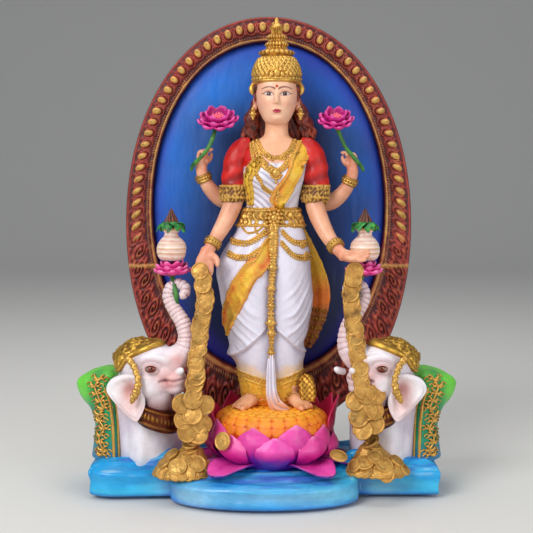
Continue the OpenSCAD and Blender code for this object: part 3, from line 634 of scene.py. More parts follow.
def reliefAt(run, v, turn, total):
    # height in mm over the band; run is mm round the frame, v goes 0 at the inner edge to 1 at the outer
    inner = 0.75 * bell(v, 0.07, 0.045)  # plain gold rim by the panel
    beading = 0.45 * bell(v, 0.185, 0.04) * (0.5 + 0.5 * np.cos(2 * math.pi * run / 1.15))
    outer = 0.55 * bell(v, 0.96, 0.05)
    pitch = total / plate["bosses"]
    k = np.floor(run / pitch)
    dx = (run - (k + 0.5) * pitch)  # mm along the band from a boss
    dy = (v - 0.60) * plate["band"]  # mm across it
    boss = 1.7 * np.sqrt(unit(1 - (np.hypot(dx, dy * 0.68) / plate["bossMm"]) ** 2))
    tip = 0.5 * bell(np.hypot(dx * 1.5, dy - 0.9), 0, 0.75)
    curl = 0.8 * bell(np.hypot(dx, dy * 0.8 + 0.35), 2.05, 0.26) * (dy < 1.6)
    side = 0.6 * np.exp(-((np.abs(dx) - pitch / 2) ** 2 / 0.25
                          + (dy - 1.9) ** 2 / 0.5)) + 0.5 * np.exp(-((np.abs(dx) - pitch / 2) ** 2 / 0.2
            + (dy + 2.2) ** 2 / 0.4))
    grain = 0.14 * np.sin(dx * 9) * np.sin(dy * 7) * (np.hypot(dx, dy) > 2.0)
    upper = boss + tip + curl + side + grain
    # lower down: open leaf scrolls, turning one way then the other
    cell = 6.0
    f = (run / cell - np.floor(run / cell) - 0.5) * cell
    flip = np.where(np.floor(run / cell) % 2 == 0, 1, -1)
    g = (v - 0.60) * plate["band"] - 0.7 * flip
    rr, spin = np.hypot(f, g), np.arctan2(g, f)
    scroll = 1.15 * (0.5 + 0.5 * np.cos(2 * math.pi * rr / 1.55
                                        - spin * flip)) ** 1.6 * np.exp(-(rr / 2.7) ** 6)
    leaf = 0.75 * bell(rr, 3.25, 0.55) * (0.5 + 0.5 * np.cos(7
                                                             * spin)) + 0.55 * np.exp(-((g + 2.4 * flip) ** 2
            / 0.25)) * (0.5 + 0.5 * np.cos(f * 2.4))
    lower = scroll + leaf
    t = ramp(0.12, 0.55, turn)
    rise = upper * t + lower * (1 - t)
    fade = ramp(0.2, 0.3, v) * ramp(0.98, 0.90, v)
    return inner + beading + outer + rise * fade


def makeFrame():
    turns = 1500
    cz = plate["top"] - plate["height"] / 2
    a = roundAngles(turns) + math.pi / 2
    across = np.linspace(0, 1, 64)
    face = plate["back"] - plate["depth"]
    outX, outZ = ovalPoint(a, plate["width"] - 0.6, plate["height"] - 0.6, cz)
    panelH = plate["height"] - plate["band"] + 0.8 - plate["foot"]
    pz = plate["top"] - plate["band"] + 0.8 - panelH / 2
    inX, inZ = ovalPoint(a, plate["width"] - 2 * plate["band"], panelH, pz)
    run = np.concatenate([[0], np.cumsum(np.hypot(np.diff(outX), np.diff(outZ)))])
    total = run[-1] + math.hypot(outX[0] - outX[-1], outZ[0] - outZ[-1])
    bar = 79.5
    rings, tones = [], []
    for v in across:
        x, z = inX * (1 - v) + outX * v, inZ * (1 - v) + outZ * v
        y = face + 1.1 * np.abs(v - 0.5) ** 3 * 8 - 0.1
        rise = reliefAt(run, v, (z - bar) / 30, total) if 0 < v < 1 else np.zeros(turns)
        barHere = bell(z, bar, 0.55) * ramp(0.1, 0.2, v)
        rise = rise * (1 - barHere) + 0.95 * barHere
        rise = rise + 0.12 * noiseAt(np.stack([x, np.full_like(x, v), z], 1), 1.6, 8)
        rings.append(np.stack([x, y - rise * 0.95 + 0.9, z], 1))
        tones.append(rise)
    shell = [np.stack([inX, np.full(turns, plate["back"] - 3.4), inZ], 1)] + rings
    for d, y in ((0.3, face + 2.2), (0.55, face + 5), (0.55, plate["back"] - 1.6), (0.1, plate["back"] - 0.4),
                 (-0.8, plate["back"])):
        x, z = ovalPoint(a, plate["width"] - 0.6 + d, plate["height"] - 0.6 + d, cz)
        shell.append(np.stack([x, np.full(turns, y), z], 1))
    for t in (0.8, 0.4, 0.05):
        x, z = ovalPoint(a, plate["width"] * t, plate["height"] * t, cz)
        shell.append(np.stack([x, np.full(turns, plate["back"]), z], 1))
    shell = np.array(shell)
    mesh = closedLoft(shell)
    p = mesh[0]
    gold, rust, wine, dark = colours("#dcae58", "#c0523e", "#9a3328", "#4a0f12")
    rise = np.zeros(shell.shape[:2])
    rise[1:len(across) + 1] = np.array(tones)
    rise = np.append(rise.ravel(), [0, 0])
    v = np.zeros(shell.shape[:2])
    v[1:len(across) + 1] = across[:, None]
    v = np.append(v.ravel(), [0, 0])
    drag = noiseAt(p, 3.2, 21)
    c = mix(dark, wine, ramp(0.02, 0.4, rise))
    c = mix(c, rust, ramp(0.35, 0.9, rise + drag * 0.15))
    upper = ramp(80, 96, p[:, 2])
    c = mix(c, gold, ramp(0.80, 1.30, rise + drag * 0.25) * (0.45 + 0.55 * upper))
    rim = bell(v, 0.07, 0.05) * (v > 0)
    c = mix(c, gold, unit(rim * ramp(0.2, 0.7, rise + 0.2 * drag) * 1.1) * (0.55 + 0.45 * upper))
    dots = bell(v, 0.185, 0.05) * ramp(0.15, 0.4, rise) * 0.6
    c = mix(c, gold, unit(dots))
    c = mix(c, gold, unit(bell(p[:, 2], bar, 0.6) * (v > 0.1) * 0.75))
    makePiece("oval_frame_cast", mesh, "maroonPaint", c, ["back_frame", "frame_bosses"])


def makePanel():
    a = roundAngles(260)
    panelH = plate["height"] - plate["band"] + 0.8 - plate["foot"]
    pz = plate["top"] - plate["band"] + 0.8 - panelH / 2
    rings = []
    w = plate["width"] - 2 * plate["band"]
    back = plate["back"] - 3.2
    for t, y in ((0.1, back), (0.9, back), (1.0, back)):
        x, z = ovalPoint(a, w * t, panelH * t, pz)
        rings.append(np.stack([x, np.full(len(a), y), z], 1))
    for t in np.linspace(1.0, 0.01, 90):
        x, z = ovalPoint(a, w * t, panelH * t, pz)
        y = plate["back"] - 6.2 - 4.3 * np.sqrt(unit(1 - t ** 2.4))
        rings.append(np.stack([x, np.full(len(a), y), z], 1))
    mesh = closedLoft(np.array(rings))
    p = mesh[0]
    p[:, 1] += 0.10 * noiseAt(p * (1, 1, 0.25), 2.0, 4) + 0.12 * noiseAt(p, 9, 6)
    bright, cobalt, navy, violet = colours("#0080ec", "#0046ac", "#02123e", "#2a1ea0")
    n = noiseAt(p * (1, 1, 0.3), 10, 12)
    x, z = p[:, 0] - plate["x"], p[:, 2]
    out = np.hypot(x / (w / 2), (z - pz) / (panelH / 2))
    # brighter patch upper left and a weaker one to the right: painted highlight
    paintedHighlight = np.exp(-(((x + 22) / 20) ** 2 + ((z - 128) / 34) ** 2)) + 0.55 * np.exp(-(((x - 26) / 14) ** 2
            + ((z - 118) / 30) ** 2))
    c = mix(cobalt, bright, unit(paintedHighlight * (1 + 0.3 * n)))
    # navy round the figure and towards the bottom: painted shadow
    c = mix(c, navy, np.clip(ramp(46, 16, np.abs(x - 2)) * ramp(152, 126, z) * 0.85 + ramp(105, 45, z) * 0.55,
                             0, 0.92))
    c = mix(c, violet, ramp(0.86, 1.0, out + 0.04 * n) * 0.5)
    makePiece("blue_panel_cast", mesh, "cobaltPaint", c, ["back_panel"])


makeFrame()
makePanel()
print("backplate ready")

# lotus under the feet: plump upright petals in rings, flat ones spread on the water

lotus = dict(x=1.8, y=-3.0)
petalSets = [  # angles, foot radius, belly, tip, foot height, rise, half width, tone
    dict(turns=[-131, -52, -9, -171, 30, 150], foot=13, tip=31.0, z=13.2, half=7.6, tone="lower"),
    dict(turns=[-90 + 40 * k for k in range(9)], foot=15.5, belly=24.2, tip=22.6, z=11.6, rise=12.4, half=6.4,
         tone="side", point=0.0),
    dict(turns=[-70 + 40 * k for k in range(9)], foot=15.5, belly=22.8, tip=21.6, z=11.6, rise=16.0, half=6.6,
         tone="side", point=0.15),
    dict(turns=[22, 50, 78, 103, 130, 158, 184, -4], foot=16.0, belly=22.6, tip=23.8, z=13.0, rise=21.5,
         half=6.8, tone="upper", point=0.75),
]


def petalShell(points, axis, body, u):  # thickens a petal surface; its normals face along plus axis
    rows, cols = points.shape[:2]
    n = np.cross(np.gradient(points, axis=0), np.gradient(points, axis=1))
    n = toUnit(n)
    n = n * np.sign(n[..., axis:axis + 1])
    rings = np.concatenate([points, (points - n * body[..., None])[:, ::-1]], 1)
    top = np.concatenate([np.ones((rows, cols)), np.zeros((rows, cols))], 1)
    return rings, np.repeat(u, cols * 2, 1), top


def plumpPetal(spec, seed, rows=44, cols=31):  # bulging shell, rounded or pointed at the top
    u = np.linspace(0, 1, rows)[:, None]
    w = np.linspace(-1, 1, cols)[None, :]
    wide = spec["half"] * (0.42 + 0.62 * np.sin(math.pi * unit(u * 0.86 + 0.02)) ** 1.1)
    wide = wide * np.sqrt(unit(1 - (ramp(0.55, 1.0, u) * 0.985) ** (2.6 - 1.4 * spec["point"])))
    out = spec["foot"] + (spec["belly"] - spec["foot"]) * np.sin(unit(u / 0.62) * math.pi / 2) + (spec["tip"]
            - spec["belly"]) * ramp(0.55, 1.0, u)
    r = out - 0.34 * wide * w ** 2
    h = spec["z"] + spec["rise"] * (u ** 0.92)
    points = np.stack([r, w * wide, h + 0 * w], -1)
    points += (0.16 * noiseAt(points, 3.5, seed))[..., None] * (1, 0.5, 0.5)
    body = 0.25 + 1.0 * np.sin(math.pi * unit(0.1 + 0.8 * u)) * (1 - 0.7 * w ** 4)
    return petalShell(points, 0, body, u)


def flatPetal(spec, seed, rows=40, cols=29):  # lies on the water, edges turned up, tip curling
    u = np.linspace(0, 1, rows)[:, None]
    w = np.linspace(-1, 1, cols)[None, :]
    wide = spec["half"] * np.sin(math.pi * (0.20 + 0.80 * u) ** 1.15) ** 0.62
    r = spec["foot"] + (spec["tip"] - spec["foot"]) * u + 0 * w
    h = spec["z"] + 1.5 * np.sin(math.pi * u * 0.8) - 2.9 * u ** 1.6 + 1.5 * (w ** 2) * np.sin(math.pi
            * unit(u * 0.95)) + 0.9 * ramp(0.85, 1, u)
    points = np.stack([r, w * wide, h], -1)
    points[..., 2] += 0.18 * noiseAt(points, 4, seed)
    body = 0.35 + 0.75 * (1 - 0.55 * w ** 4) * (1 - 0.4 * u)
    return petalShell(points, 2, body, u)


def petalPaint(u, top, tone, turn, p):
    violet, blue, magenta, pink, pale, crimson, wine = colours("#4a17a8", "#2a1aa2", "#cf1f93", "#ea4fae",
                                                               "#f7a3d3", "#c01440", "#5e0a20")
    n = noiseAt(p, 4, 31)
    if tone == "lower":
        c = mix(magenta, pink, ramp(0.2, 0.8, u + 0.2 * n))
        c = mix(c, pale, ramp(0.86, 1.0, u) * 0.4)
        return mix(c, mix(violet, blue, unit(0.5 + n)), np.maximum((1 - top) * 0.95,
                ramp(0.30, 0.05, u) * 0.7))
    c = mix(magenta, pink, ramp(0.35, 0.85, u + 0.12 * n))
    c = mix(c, pale, ramp(0.90, 1.02, u + 0.06 * n) * 0.55)
    c = mix(c, violet, ramp(0.50, 0.12, u + 0.12 * n) * 0.85)
    c = mix(c, blue, ramp(0.22, 0.0, u) * 0.6)
    away = math.sin(math.radians(turn))
    sideways = abs(math.cos(math.radians(turn))) if away < 0.35 else 1
    c = mix(c, crimson, ramp(0.25, 0.8, u) * sideways * 0.45)
    if tone == "upper" or away > 0.3:
        c = mix(c, crimson, 0.85)
        c = mix(c, wine, ramp(0.6, 0.1, u) * 0.8)
    return c


def makeLotus():
    for k, spec in enumerate(petalSets):
        parts, tones = [], []
        for j, turn in enumerate(spec["turns"]):
            flat = spec["tone"] == "lower"
            own = dict(spec, half=spec["half"] * (1 + 0.05 * math.sin(j * 2.9 + k)))
            if not flat:
                own["rise"] = spec["rise"] * (1 + 0.07 * math.sin(j * 1.7 + k))
            rings, u, top = (flatPetal if flat else plumpPetal)(own, k * 20 + j)
            mesh = closedLoft(rings)
            verts = turned(mesh[0], (0, 0, 1), turn + 3 * math.sin(j * 2.3 + k))
            verts[:, 1] = np.where(verts[:, 1] > 0, verts[:, 1] * 0.80, verts[:, 1])
            verts = verts + (lotus["x"], lotus["y"], 0)
            parts.append((verts, mesh[1]))
            tones.append(petalPaint(np.append(u.ravel(), [0, 1]), np.append(top.ravel(), [1, 1]),
                                    spec["tone"], turn, verts))
        replaced = {0: ["lotus_lower_petals"], 3: ["lotus_upper_petals"]}.get(k, [])
        makePiece("lotus_ring_%d" % (k + 1), mergeMeshes(parts), "petalPaint", np.concatenate(tones),
                  replaced)
    heart = levelRings([[lotus["x"], lotus["y"], 12, 13, 13], [lotus["x"], lotus["y"], 16, 16, 16],
                        [lotus["x"], lotus["y"], 21, 18.5, 18.5],
                        [lotus["x"], lotus["y"], 24, 19.0, 19.0]], 3, 60)
    makePiece("lotus_heart", closedLoft(heart), "petalPaint", "#6a1290", [])


pod = dict(rowMm=2.3, scaleMm=3.0, rimScaleMm=4.9, reliefMm=0.65, width=20.2)


def scalesAt(r, a):  # overlapping round scales in rings, larger towards the rim, like cast fish scales
    height = np.zeros_like(r)
    for k in range(9):
        rk = 1.2 + k * pod["rowMm"] * (1 + 0.012 * k)
        size = pod["scaleMm"] + (pod["rimScaleMm"] - pod["scaleMm"]) * ramp(8, 21, rk)
        count = max(5, int(2 * math.pi * (rk + 1) / size))
        step = 2 * math.pi / count
        off = np.mod(a + (step / 2 if k % 2 else 0), step) - step / 2
        du, dv = r - rk, off * rk
        d = np.hypot(du, dv)
        radius = size * 0.54
        here = np.where(d < radius, 0.25 + 0.75 * unit(1 - (d / radius) ** 4) * (0.6 + 0.4 * du / radius), 0)
        height = np.where((d < radius) & (du > -radius * 0.35), here, height)
    return height


def makePod():
    # a low cushion: flat under the feet, rounding down to the rim
    w = pod["width"]
    profile = curvePoints([[0.05, 30.5], [6, 30.5], [12.6, 30.4], [16.4, 29.7], [18.9, 28.2], [20.0, 25.6],
                           [w, 22.6], [19.4, 20.9]], 24)
    tangent = np.gradient(profile, axis=0)
    tangent = toUnit(tangent)
    run = runAlong(profile)
    a = roundAngles(460)
    aa = a[None, :] + 0 * run[:, None]
    rr = run[:, None] + 0 * aa
    scales = scalesAt(rr, aa)
    underFoot = np.hypot(profile[:, :1] * np.cos(aa) - 0.2, profile[:, :1] * np.sin(aa) - 7) < 11
    rise = scales * pod["reliefMm"] * np.where(underFoot, 0.4, 1) * ramp(run[-1], run[-1] - 1.5, rr)
    r = profile[:, :1] - tangent[:, 1:] * rise
    z = profile[:, 1:] + tangent[:, :1] * rise
    ring = np.stack([lotus["x"] + r * np.cos(aa), lotus["y"] + r * np.sin(aa), z + 0 * aa], -1)
    yellow, orange, red = colours("#fdb62e", "#f67d12", "#dc3d0c")
    tone = mix(orange, yellow, ramp(0.15, 0.8, scales))
    tone = mix(tone, red, ramp(0.3, 0.0, scales) * (0.6 + 0.3 * ramp(10, 18, rr)))
    tone = mix(tone, red, ramp(13, 22, rr) * 0.6)
    makePiece("seed_pod_cast", closedLoft(ring[::-1]), "clothPaint", withEnds(tone[::-1], red, yellow),
              ["seed_pod"])


makeLotus()
makePod()
print("lotus ready")

# goddess: skirt

stand = (2.0, 4.0, 30.5)  # where the figure stands, as in the CAD


def fromStand(keys):
    return [[k[0] + stand[0], k[1] + stand[1], k[2] + stand[2]] + list(k[3:]) for k in keys]


skirt = dict(foldMm=0.55, radialFolds=15, middle=1.6)
skirtKeys = fromStand([
    [-0.7, 0.4, 0.4, 9.4, 5.4], [-0.7, 0, 3.5, 10.4, 6.2], [-0.8, 0, 8.9, 11.2, 7.2],
    [-0.8, 0, 13.7, 11.8, 7.8],
    [-1.4, 0, 17.3, 12.6, 8.2], [-2.0, 0, 22.8, 12.9, 8.4], [-1.8, 0, 28.5, 14.3, 8.6],
    [-1.75, 0, 37.6, 15.8, 8.8],
    [-3.0, 0, 47.7, 16.4, 9.0], [-2.2, 0, 54.8, 15.2, 8.6], [-1.0, 0, 61, 12.4, 7.8],
    [-0.3, 0, 66.5, 10.0, 6.6]])


def hemEdge(x):  # where the white skirt meets its border
    return 40.2 + 4.2 * np.clip(np.abs(x - skirt["middle"]) / 13, 0, 1.2)


def drapeEdge(x):  # lower edge of the two overlapping drapes: high in the middle, falling to the sides
    side = unit(np.abs(x - skirt["middle"]) / 14.2)
    return 48.6 + 12.5 * (1 - side) ** 1.5


def makeSkirt():
    rings = levelRings(skirtKeys, 34, 460, 2.15)
    x, z = rings[..., 0], rings[..., 2]
    a = roundAngles(rings.shape[1])[None, :]
    front = unit(np.cos(a)) ** 0.5
    out = outwardFrom(a, x)
    dx = x - skirt["middle"]
    side = np.abs(dx) / 13
    over = ramp(-0.3, 0.3, z - hemEdge(x) + 0.25 * noiseAt(rings, 2.0, 7))
    drape = ramp(-0.35, 0.35, z - drapeEdge(x) + 0.2 * noiseAt(rings, 3.0, 8))
    # soft folds hanging in curves from the middle to the outer thighs, unevenly spaced
    level = z - (6 + 0.30 * (z - 46)) * side ** 1.7 + 1.3 * noiseAt(rings, 11, 3)
    hang = np.cos(2 * math.pi * level / 6.2 + 1.2 * noiseAt(rings, 9, 13))
    hang = np.maximum(hang, 0) ** 1.6 + 0.35 * np.maximum(np.cos(2 * math.pi * level / 3.1 + 1.1), 0) ** 2
    hangAmount = ramp(0.15, 0.5, side) * ramp(86, 62, z) * drape * front
    # folds spreading from the waist knot
    spread = np.arctan2(dx + 0.5, 97 - z)
    reach = np.hypot(dx, 97 - z)
    ray = np.cos(spread * skirt["radialFolds"] * 1.5 + 1.6 * noiseAt(rings, 12, 5))
    rayAmount = ramp(5, 16, reach) * ramp(44, 60, z) * front * (0.45 + 0.55 * ramp(0.2, -0.2, dx / 13))
    # lower skirt: long soft pleats down to the hem
    low = np.cos(np.arctan2(dx, 74 - z) * 22 + 0.8 * noiseAt(rings, 8, 9)) * (1 - drape) * over
    dip = 1.0 * bell(dx, 0, 2.6) * ramp(33, 45, z) * ramp(92, 70, z) * front
    leg = 0.75 * bell(np.abs(dx), 6.4, 3.6) * ramp(40, 60, z) * ramp(96, 80, z) * front
    step = 0.95 * drape * front * ramp(0.05, 0.25, side) - 0.5 * (1 - drape) * over * front
    lip = 0.35 * bell(z - drapeEdge(x), 0.6, 0.5) * front * ramp(0.1, 0.3, side)
    flare = 1.3 * bell(z, 49.4, 2.0) * ramp(0.7, 1.0, side) * unit(np.abs(np.sin(a)))
    grow = skirt["foldMm"] * (0.75 * hang * hangAmount + 0.50 * ray * rayAmount + 0.42 * low) + leg - dip
    lace = bell(z - hemEdge(x), -1.3, 1.0) * (0.5 + 0.5 * np.sin(a * 62) * np.sin(z * 3.1)) * (1 - over)
    cord = 0.45 * bell(z - hemEdge(x), -0.35, 0.35) + 0.35 * bell(z - hemEdge(x), -2.7, 0.3) + 0.4 * bell(z,
            32.6, 0.6)
    weave = (0.22 * noiseAt(rings, 0.9, 9) + 0.05 * np.cos(a * 26 + noiseAt(rings, 5, 2))) * (1 - over)
    rings = rings + out * (grow + lip + step + flare + cord * (1 - over * 0.8) + 0.4 * lace + weave
                           + 0.25 * over)[..., None]
    mesh = closedLoft(rings)
    white, shade, yellow, orange, gold = colours("#e0dcea", "#aaa3be", "#f2bc35", "#e98a26", "#c1913a")
    c = mix(white, shade, np.clip(-grow * 0.42 + 0.10 - lip + 0.35 * bell(z - drapeEdge(x), -0.8, 0.8) * over,
                                  0, 0.6) * over)
    c = mix(c, shade, np.clip(0.45 * dip, 0, 0.5))
    band = mix(orange, yellow, unit(0.1 + ramp(32, 38, z) * 0.9 + 0.4 * noiseAt(rings, 2.2, 13)))
    band = mix(band, gold, unit(lace * 1.1 + cord * 1.2 + 0.6 * ramp(0.1, 0.6, noiseAt(rings, 0.9, 9))))
    c = mix(c * over[..., None] + band * (1 - over[..., None]), yellow,
            ramp(4.5, 0.0, z - hemEdge(x) + 1.2 * noiseAt(rings, 3, 4)) * over * 0.55)
    c = withEnds(c, shade, white)
    makePiece("skirt_cast", mesh, "whitePaint", c, ["skirt"])
    return mesh


skirtMesh = makeSkirt()
skirtTree = treeOf(skirtMesh)
ahead = (0, 1, 0)

# centre pleat: three folds of cloth falling from the chain to the feet, the end swept to the right
pleatRings = limbRings([[1.7, -4.4, 50, 0.8, 0.8], [1.6, -5.2, 46, 1.15, 1.1], [1.6, -5.5, 42, 1.35, 1.2],
                        [1.7, -5.8, 38, 1.5, 1.3],
                        [2.1, -6.6, 35, 1.7, 1.3], [3.1, -7.8, 32.8, 1.9, 1.2], [4.7, -8.8, 31.9, 1.8, 1.0],
                        [6.4, -9.2, 31.6, 1.3, 0.8], [7.8, -9.0, 31.5, 0.5, 0.4]], 16, 96, (0, 1, 0))
pleatTurn = roundAngles(96)[None, :, None]
pleatMid = pleatRings.mean(1, keepdims=True)
pleatRings = pleatMid + (pleatRings - pleatMid) * (1 + 0.26 * np.cos(pleatTurn * 6 + 0.6))
pleatMesh = closedLoft(pleatRings)
creamTone, amberTone, shadeTone = colours("#dfdae6", "#e0883a", "#a49ab2")
pleatFold = np.append(np.broadcast_to(np.cos(pleatTurn * 6 + 0.6)[..., 0], pleatRings.shape[:2]).ravel(),
                      [0, 0])
pleatColour = mix(creamTone, amberTone, ramp(39.0, 32.5,
                                             pleatMesh[0][:, 2] + 0.9 * noiseAt(pleatMesh[0], 1.5, 2)) * 0.85)
pleatColour = mix(pleatColour, shadeTone, ramp(0.1, -0.9, pleatFold) * 0.55)
makePiece("centre_pleat", pleatMesh, "whitePaint", pleatColour, [])


def clothBand(name, tree, keys, flat, tones, nodes=(), edge=0.75, steps=14, look=ahead):
    # woven border: raised gold cords at both edges, seed texture between
    u = np.linspace(-1, 1, 19)
    profile = flat + edge * (bell(np.abs(u), 0.84, 0.12)) - 0.3 * (np.abs(u) > 0.99)
    mesh, length, _ = ribbon(tree, keys, profile, steps, look, 0.0)
    verts = np.asarray(mesh[0])
    rows, cols = len(length), len(u) * 2
    w = np.append(np.tile(np.concatenate([u, u[::-1]]), rows), [0, 0])
    s = np.append(np.repeat(length, cols), [0, length[-1]])
    top = np.append(np.tile(np.concatenate([np.ones(len(u)), np.zeros(len(u))]), rows), [0, 0])
    yellow, orange, gold = colours(*tones)
    seeds = 0.5 + 0.5 * np.sin(s * 5.2) * np.sin(w * 14)
    cord = np.abs(np.abs(w) - 0.84) < 0.15
    c = mix(orange, yellow, unit(0.5 + 0.5 * np.sin(w * 2.4 + s * 0.08) + 0.5 * noiseAt(verts, 2.2, 23)))
    c = mix(c, gold, unit(cord * (0.85 + 0.3 * np.sin(s * 5)) + seeds * 0.15))
    piece = makePiece(name, mesh, "clothPaint", c, nodes)
    n = normalsOf(piece)
    moveVerts(piece, verts + n * ((0.14 * seeds * ~cord + 0.12 * np.sin(s * 5.6) * cord) * top)[:, None])
    return piece


sashTones = ("#f0bf3c", "#e2641c", "#c9983a")
clothBand("hip_sash", skirtTree, [[2.6, -8, 90.5, 2.1], [-1, -8, 84.8, 3.4], [-5.7, -8, 78, 4.0],
                                  [-10.2, -7, 71.0, 3.9], [-13.2, -3, 63.6, 3.4], [-14.6, 2, 57.8, 2.8]],
          0.55, sashTones, ["skirt_sash"])


# goddess: torso, neck and bodice

torso = dict(bustMm=2.9, pleatMm=0.17)
torsoKeys = fromStand([
    [-0.3, 0, 64.6, 10.0, 6.7], [-0.1, 0, 70, 9.2, 6.2], [0.3, -0.2, 77, 9.8, 6.8],
    [0.6, -0.4, 84, 11.2, 7.4],
    [1.0, -0.2, 89, 12.2, 7.0], [1.2, 0, 92.0, 11.2, 5.9], [1.4, 0.3, 94.6, 7.6, 4.9],
    [1.5, 0.5, 96.4, 4.7, 4.4],
    [1.6, 0.3, 99, 4.1, 4.1], [1.6, 0.0, 102, 4.2, 4.3]])


def makeTorso():
    rings = levelRings(torsoKeys, 26, 340, 2.1)
    x, z = rings[..., 0], rings[..., 2]
    a = roundAngles(rings.shape[1])[None, :]
    front = unit(np.cos(a))
    out = outwardFrom(a, x)
    bust = sum(torso["bustMm"] * np.exp(-((x - bx) ** 2 / 17 + (z - 111.8) ** 2 / 19)) for bx in (-2.4,
            8.2)) * front ** 0.6
    cloth = ramp(0.0, 0.8, 119.6 - z - 0.10 * np.abs(x - 3.2)) * ramp(96, 97, z)
    pleat = np.cos((x * 0.72 + (z - 100) * 0.80) * 3.4 + 1.1 * noiseAt(rings, 5, 2))
    pull = np.cos((x * 0.80 - (z - 100) * 0.6) * 2.2)
    fold = np.where(x < 3.2, pleat, 0.6 * pull) * cloth * front * torso["pleatMm"]
    collar = 0.25 * bell(x, 3.5, 5) * bell(z, 124.4, 1.2)
    rings = rings + out * (bust + fold + 0.45 * cloth * front - collar)[..., None]
    mesh = closedLoft(rings)
    skin, shadeSkin, white, shade, red = colours("#efb48e", "#c9785a", "#e3dfea", "#b3adc4", "#c11410")
    c = mix(shade, white, ramp(-0.22, 0.05, fold + 0.05 * noiseAt(rings, 3, 8)))
    open_ = ramp(-0.4, 0.4, (z - 112.5) - 1.45 * np.abs(x - 3.2))
    blouse = ramp(-0.4, 0.4, -3.0 - x) * ramp(115.2, 116.4, z)
    c = mix(c, red, blouse)
    c = mix(c, skin, np.maximum(open_ * ramp(116.5, 118, z), ramp(122.5, 124, z)))
    c = mix(c, shadeSkin, ramp(129, 131.5, z) * 0.5)
    c = withEnds(c, shade, skin)
    makePiece("torso_cast", mesh, "skinPaint", c, ["torso"])
    return mesh


torsoMesh = makeTorso()
torsoTree = treeOf(torsoMesh)

clothBand("bust_border", torsoTree, [[-7.6, -3, 102.8, 1.2], [-8.8, -4, 107.5, 2.0], [-8.9, -5, 112.0, 2.5],
                                     [-7.6, -7, 116.0, 2.6], [-5.0, -8, 118.8, 2.2], [-2.4, -7, 120.6, 1.4]],
          0.5, ("#f3c93e", "#d9a02c", "#c8973a"), [], look=None)
clothBand("shoulder_band", torsoTree, [[3.6, -8, 99.6, 2.6], [6.4, -8, 105, 3.2], [9.6, -8, 111, 3.5],
                                       [12.6, -6, 117, 3.6], [14.0, -2, 121.6, 3.5], [14.2, 3, 123.4, 3.3],
                                       [13.4, 8, 119, 3.2], [12, 11, 111, 3.0]],
          0.75, ("#f2c23c", "#e8872a", "#cb9c3e"), ["pallu_shoulder"], look=None)


# goddess: sleeves, arms and hands

sleeve = dict(cuffHigh=109.6)


def makeSleeve(side):
    keys = fromStand([[1.2 + side * 8.6, 0.4, 92.6, 3.2, 3.0], [1.2 + side * 11.0, 0.3, 92.0, 4.0, 3.8],
                      [1.15 + side * 13.0, 0.1, 89.2, 4.6, 4.6],
                      [1.1 + side * 14.2, 0, 84.6, 4.6, 4.7], [1.0 + side * 14.6, -0.4, 79, 4.5, 4.6],
                      [0.8 + side * 14.4, -0.8, 74.2, 4.5, 4.6], [0.8 + side * 14.4, -0.8, 73.9, 3.6, 3.8]])
    rings = limbRings(keys, 18, 150)
    mid = rings.mean(1, keepdims=True)
    out = rings - mid
    out = toUnit(out)
    z = rings[..., 2]
    a = roundAngles(150)[None, :]
    cuff = ramp(sleeve["cuffHigh"] + 0.2, sleeve["cuffHigh"] - 0.2, z)
    lace = 0.36 * np.sin(a * 11 + 1.5 * np.sin(z * 1.7)) * np.cos(z * 2.1
            + 1.7 * np.sin(a * 9)) + 0.35 * bell(z, 109.2, 0.35) + 0.3 * bell(z, 105.0, 0.35)
    crease = 0.25 * np.cos(z * 1.1 + 2.2 * np.cos(a)) * ramp(122, 112, z) * (1 - cuff)
    rings = rings + out * (cuff * (0.35 + lace) + crease + 0.12 * noiseAt(rings, 2.6, 3))[..., None]
    mesh = closedLoft(rings)
    red, deep, gold, dark = colours("#cf1a12", "#8f0a0c", "#d0a046", "#6e4316")
    # deep red in the creases: painted shade; the rest of its spread is random paint tone
    c = mix(red, deep, unit(0.35 - crease * 1.6 + 0.3 * noiseAt(rings, 4, 6)))
    trim = mix(dark, gold, ramp(-0.2, 0.25, lace))
    c = c * (1 - cuff[..., None]) + trim * cuff[..., None]
    name = "sleeve_" + ("right" if side < 0 else "left")
    makePiece(name + "_cast", mesh, "clothPaint", withEnds(c, red, gold), [name])


makeSleeve(-1)
makeSleeve(1)

hand = dict(fingers=((1.95, 4.2), (0.68, 4.9), (-0.62, 4.7), (-1.85, 3.8)),  # place across the palm, length
            fingerRadii=[0.8, 0.78, 0.72, 0.66, 0.42], thumbRadii=[0.95, 0.9, 0.75, 0.4],
            palmWidths=[2.0, 2.2, 2.7, 2.75, 2.2], palmDepths=[1.7, 1.5, 1.25, 1.0, 0.7])


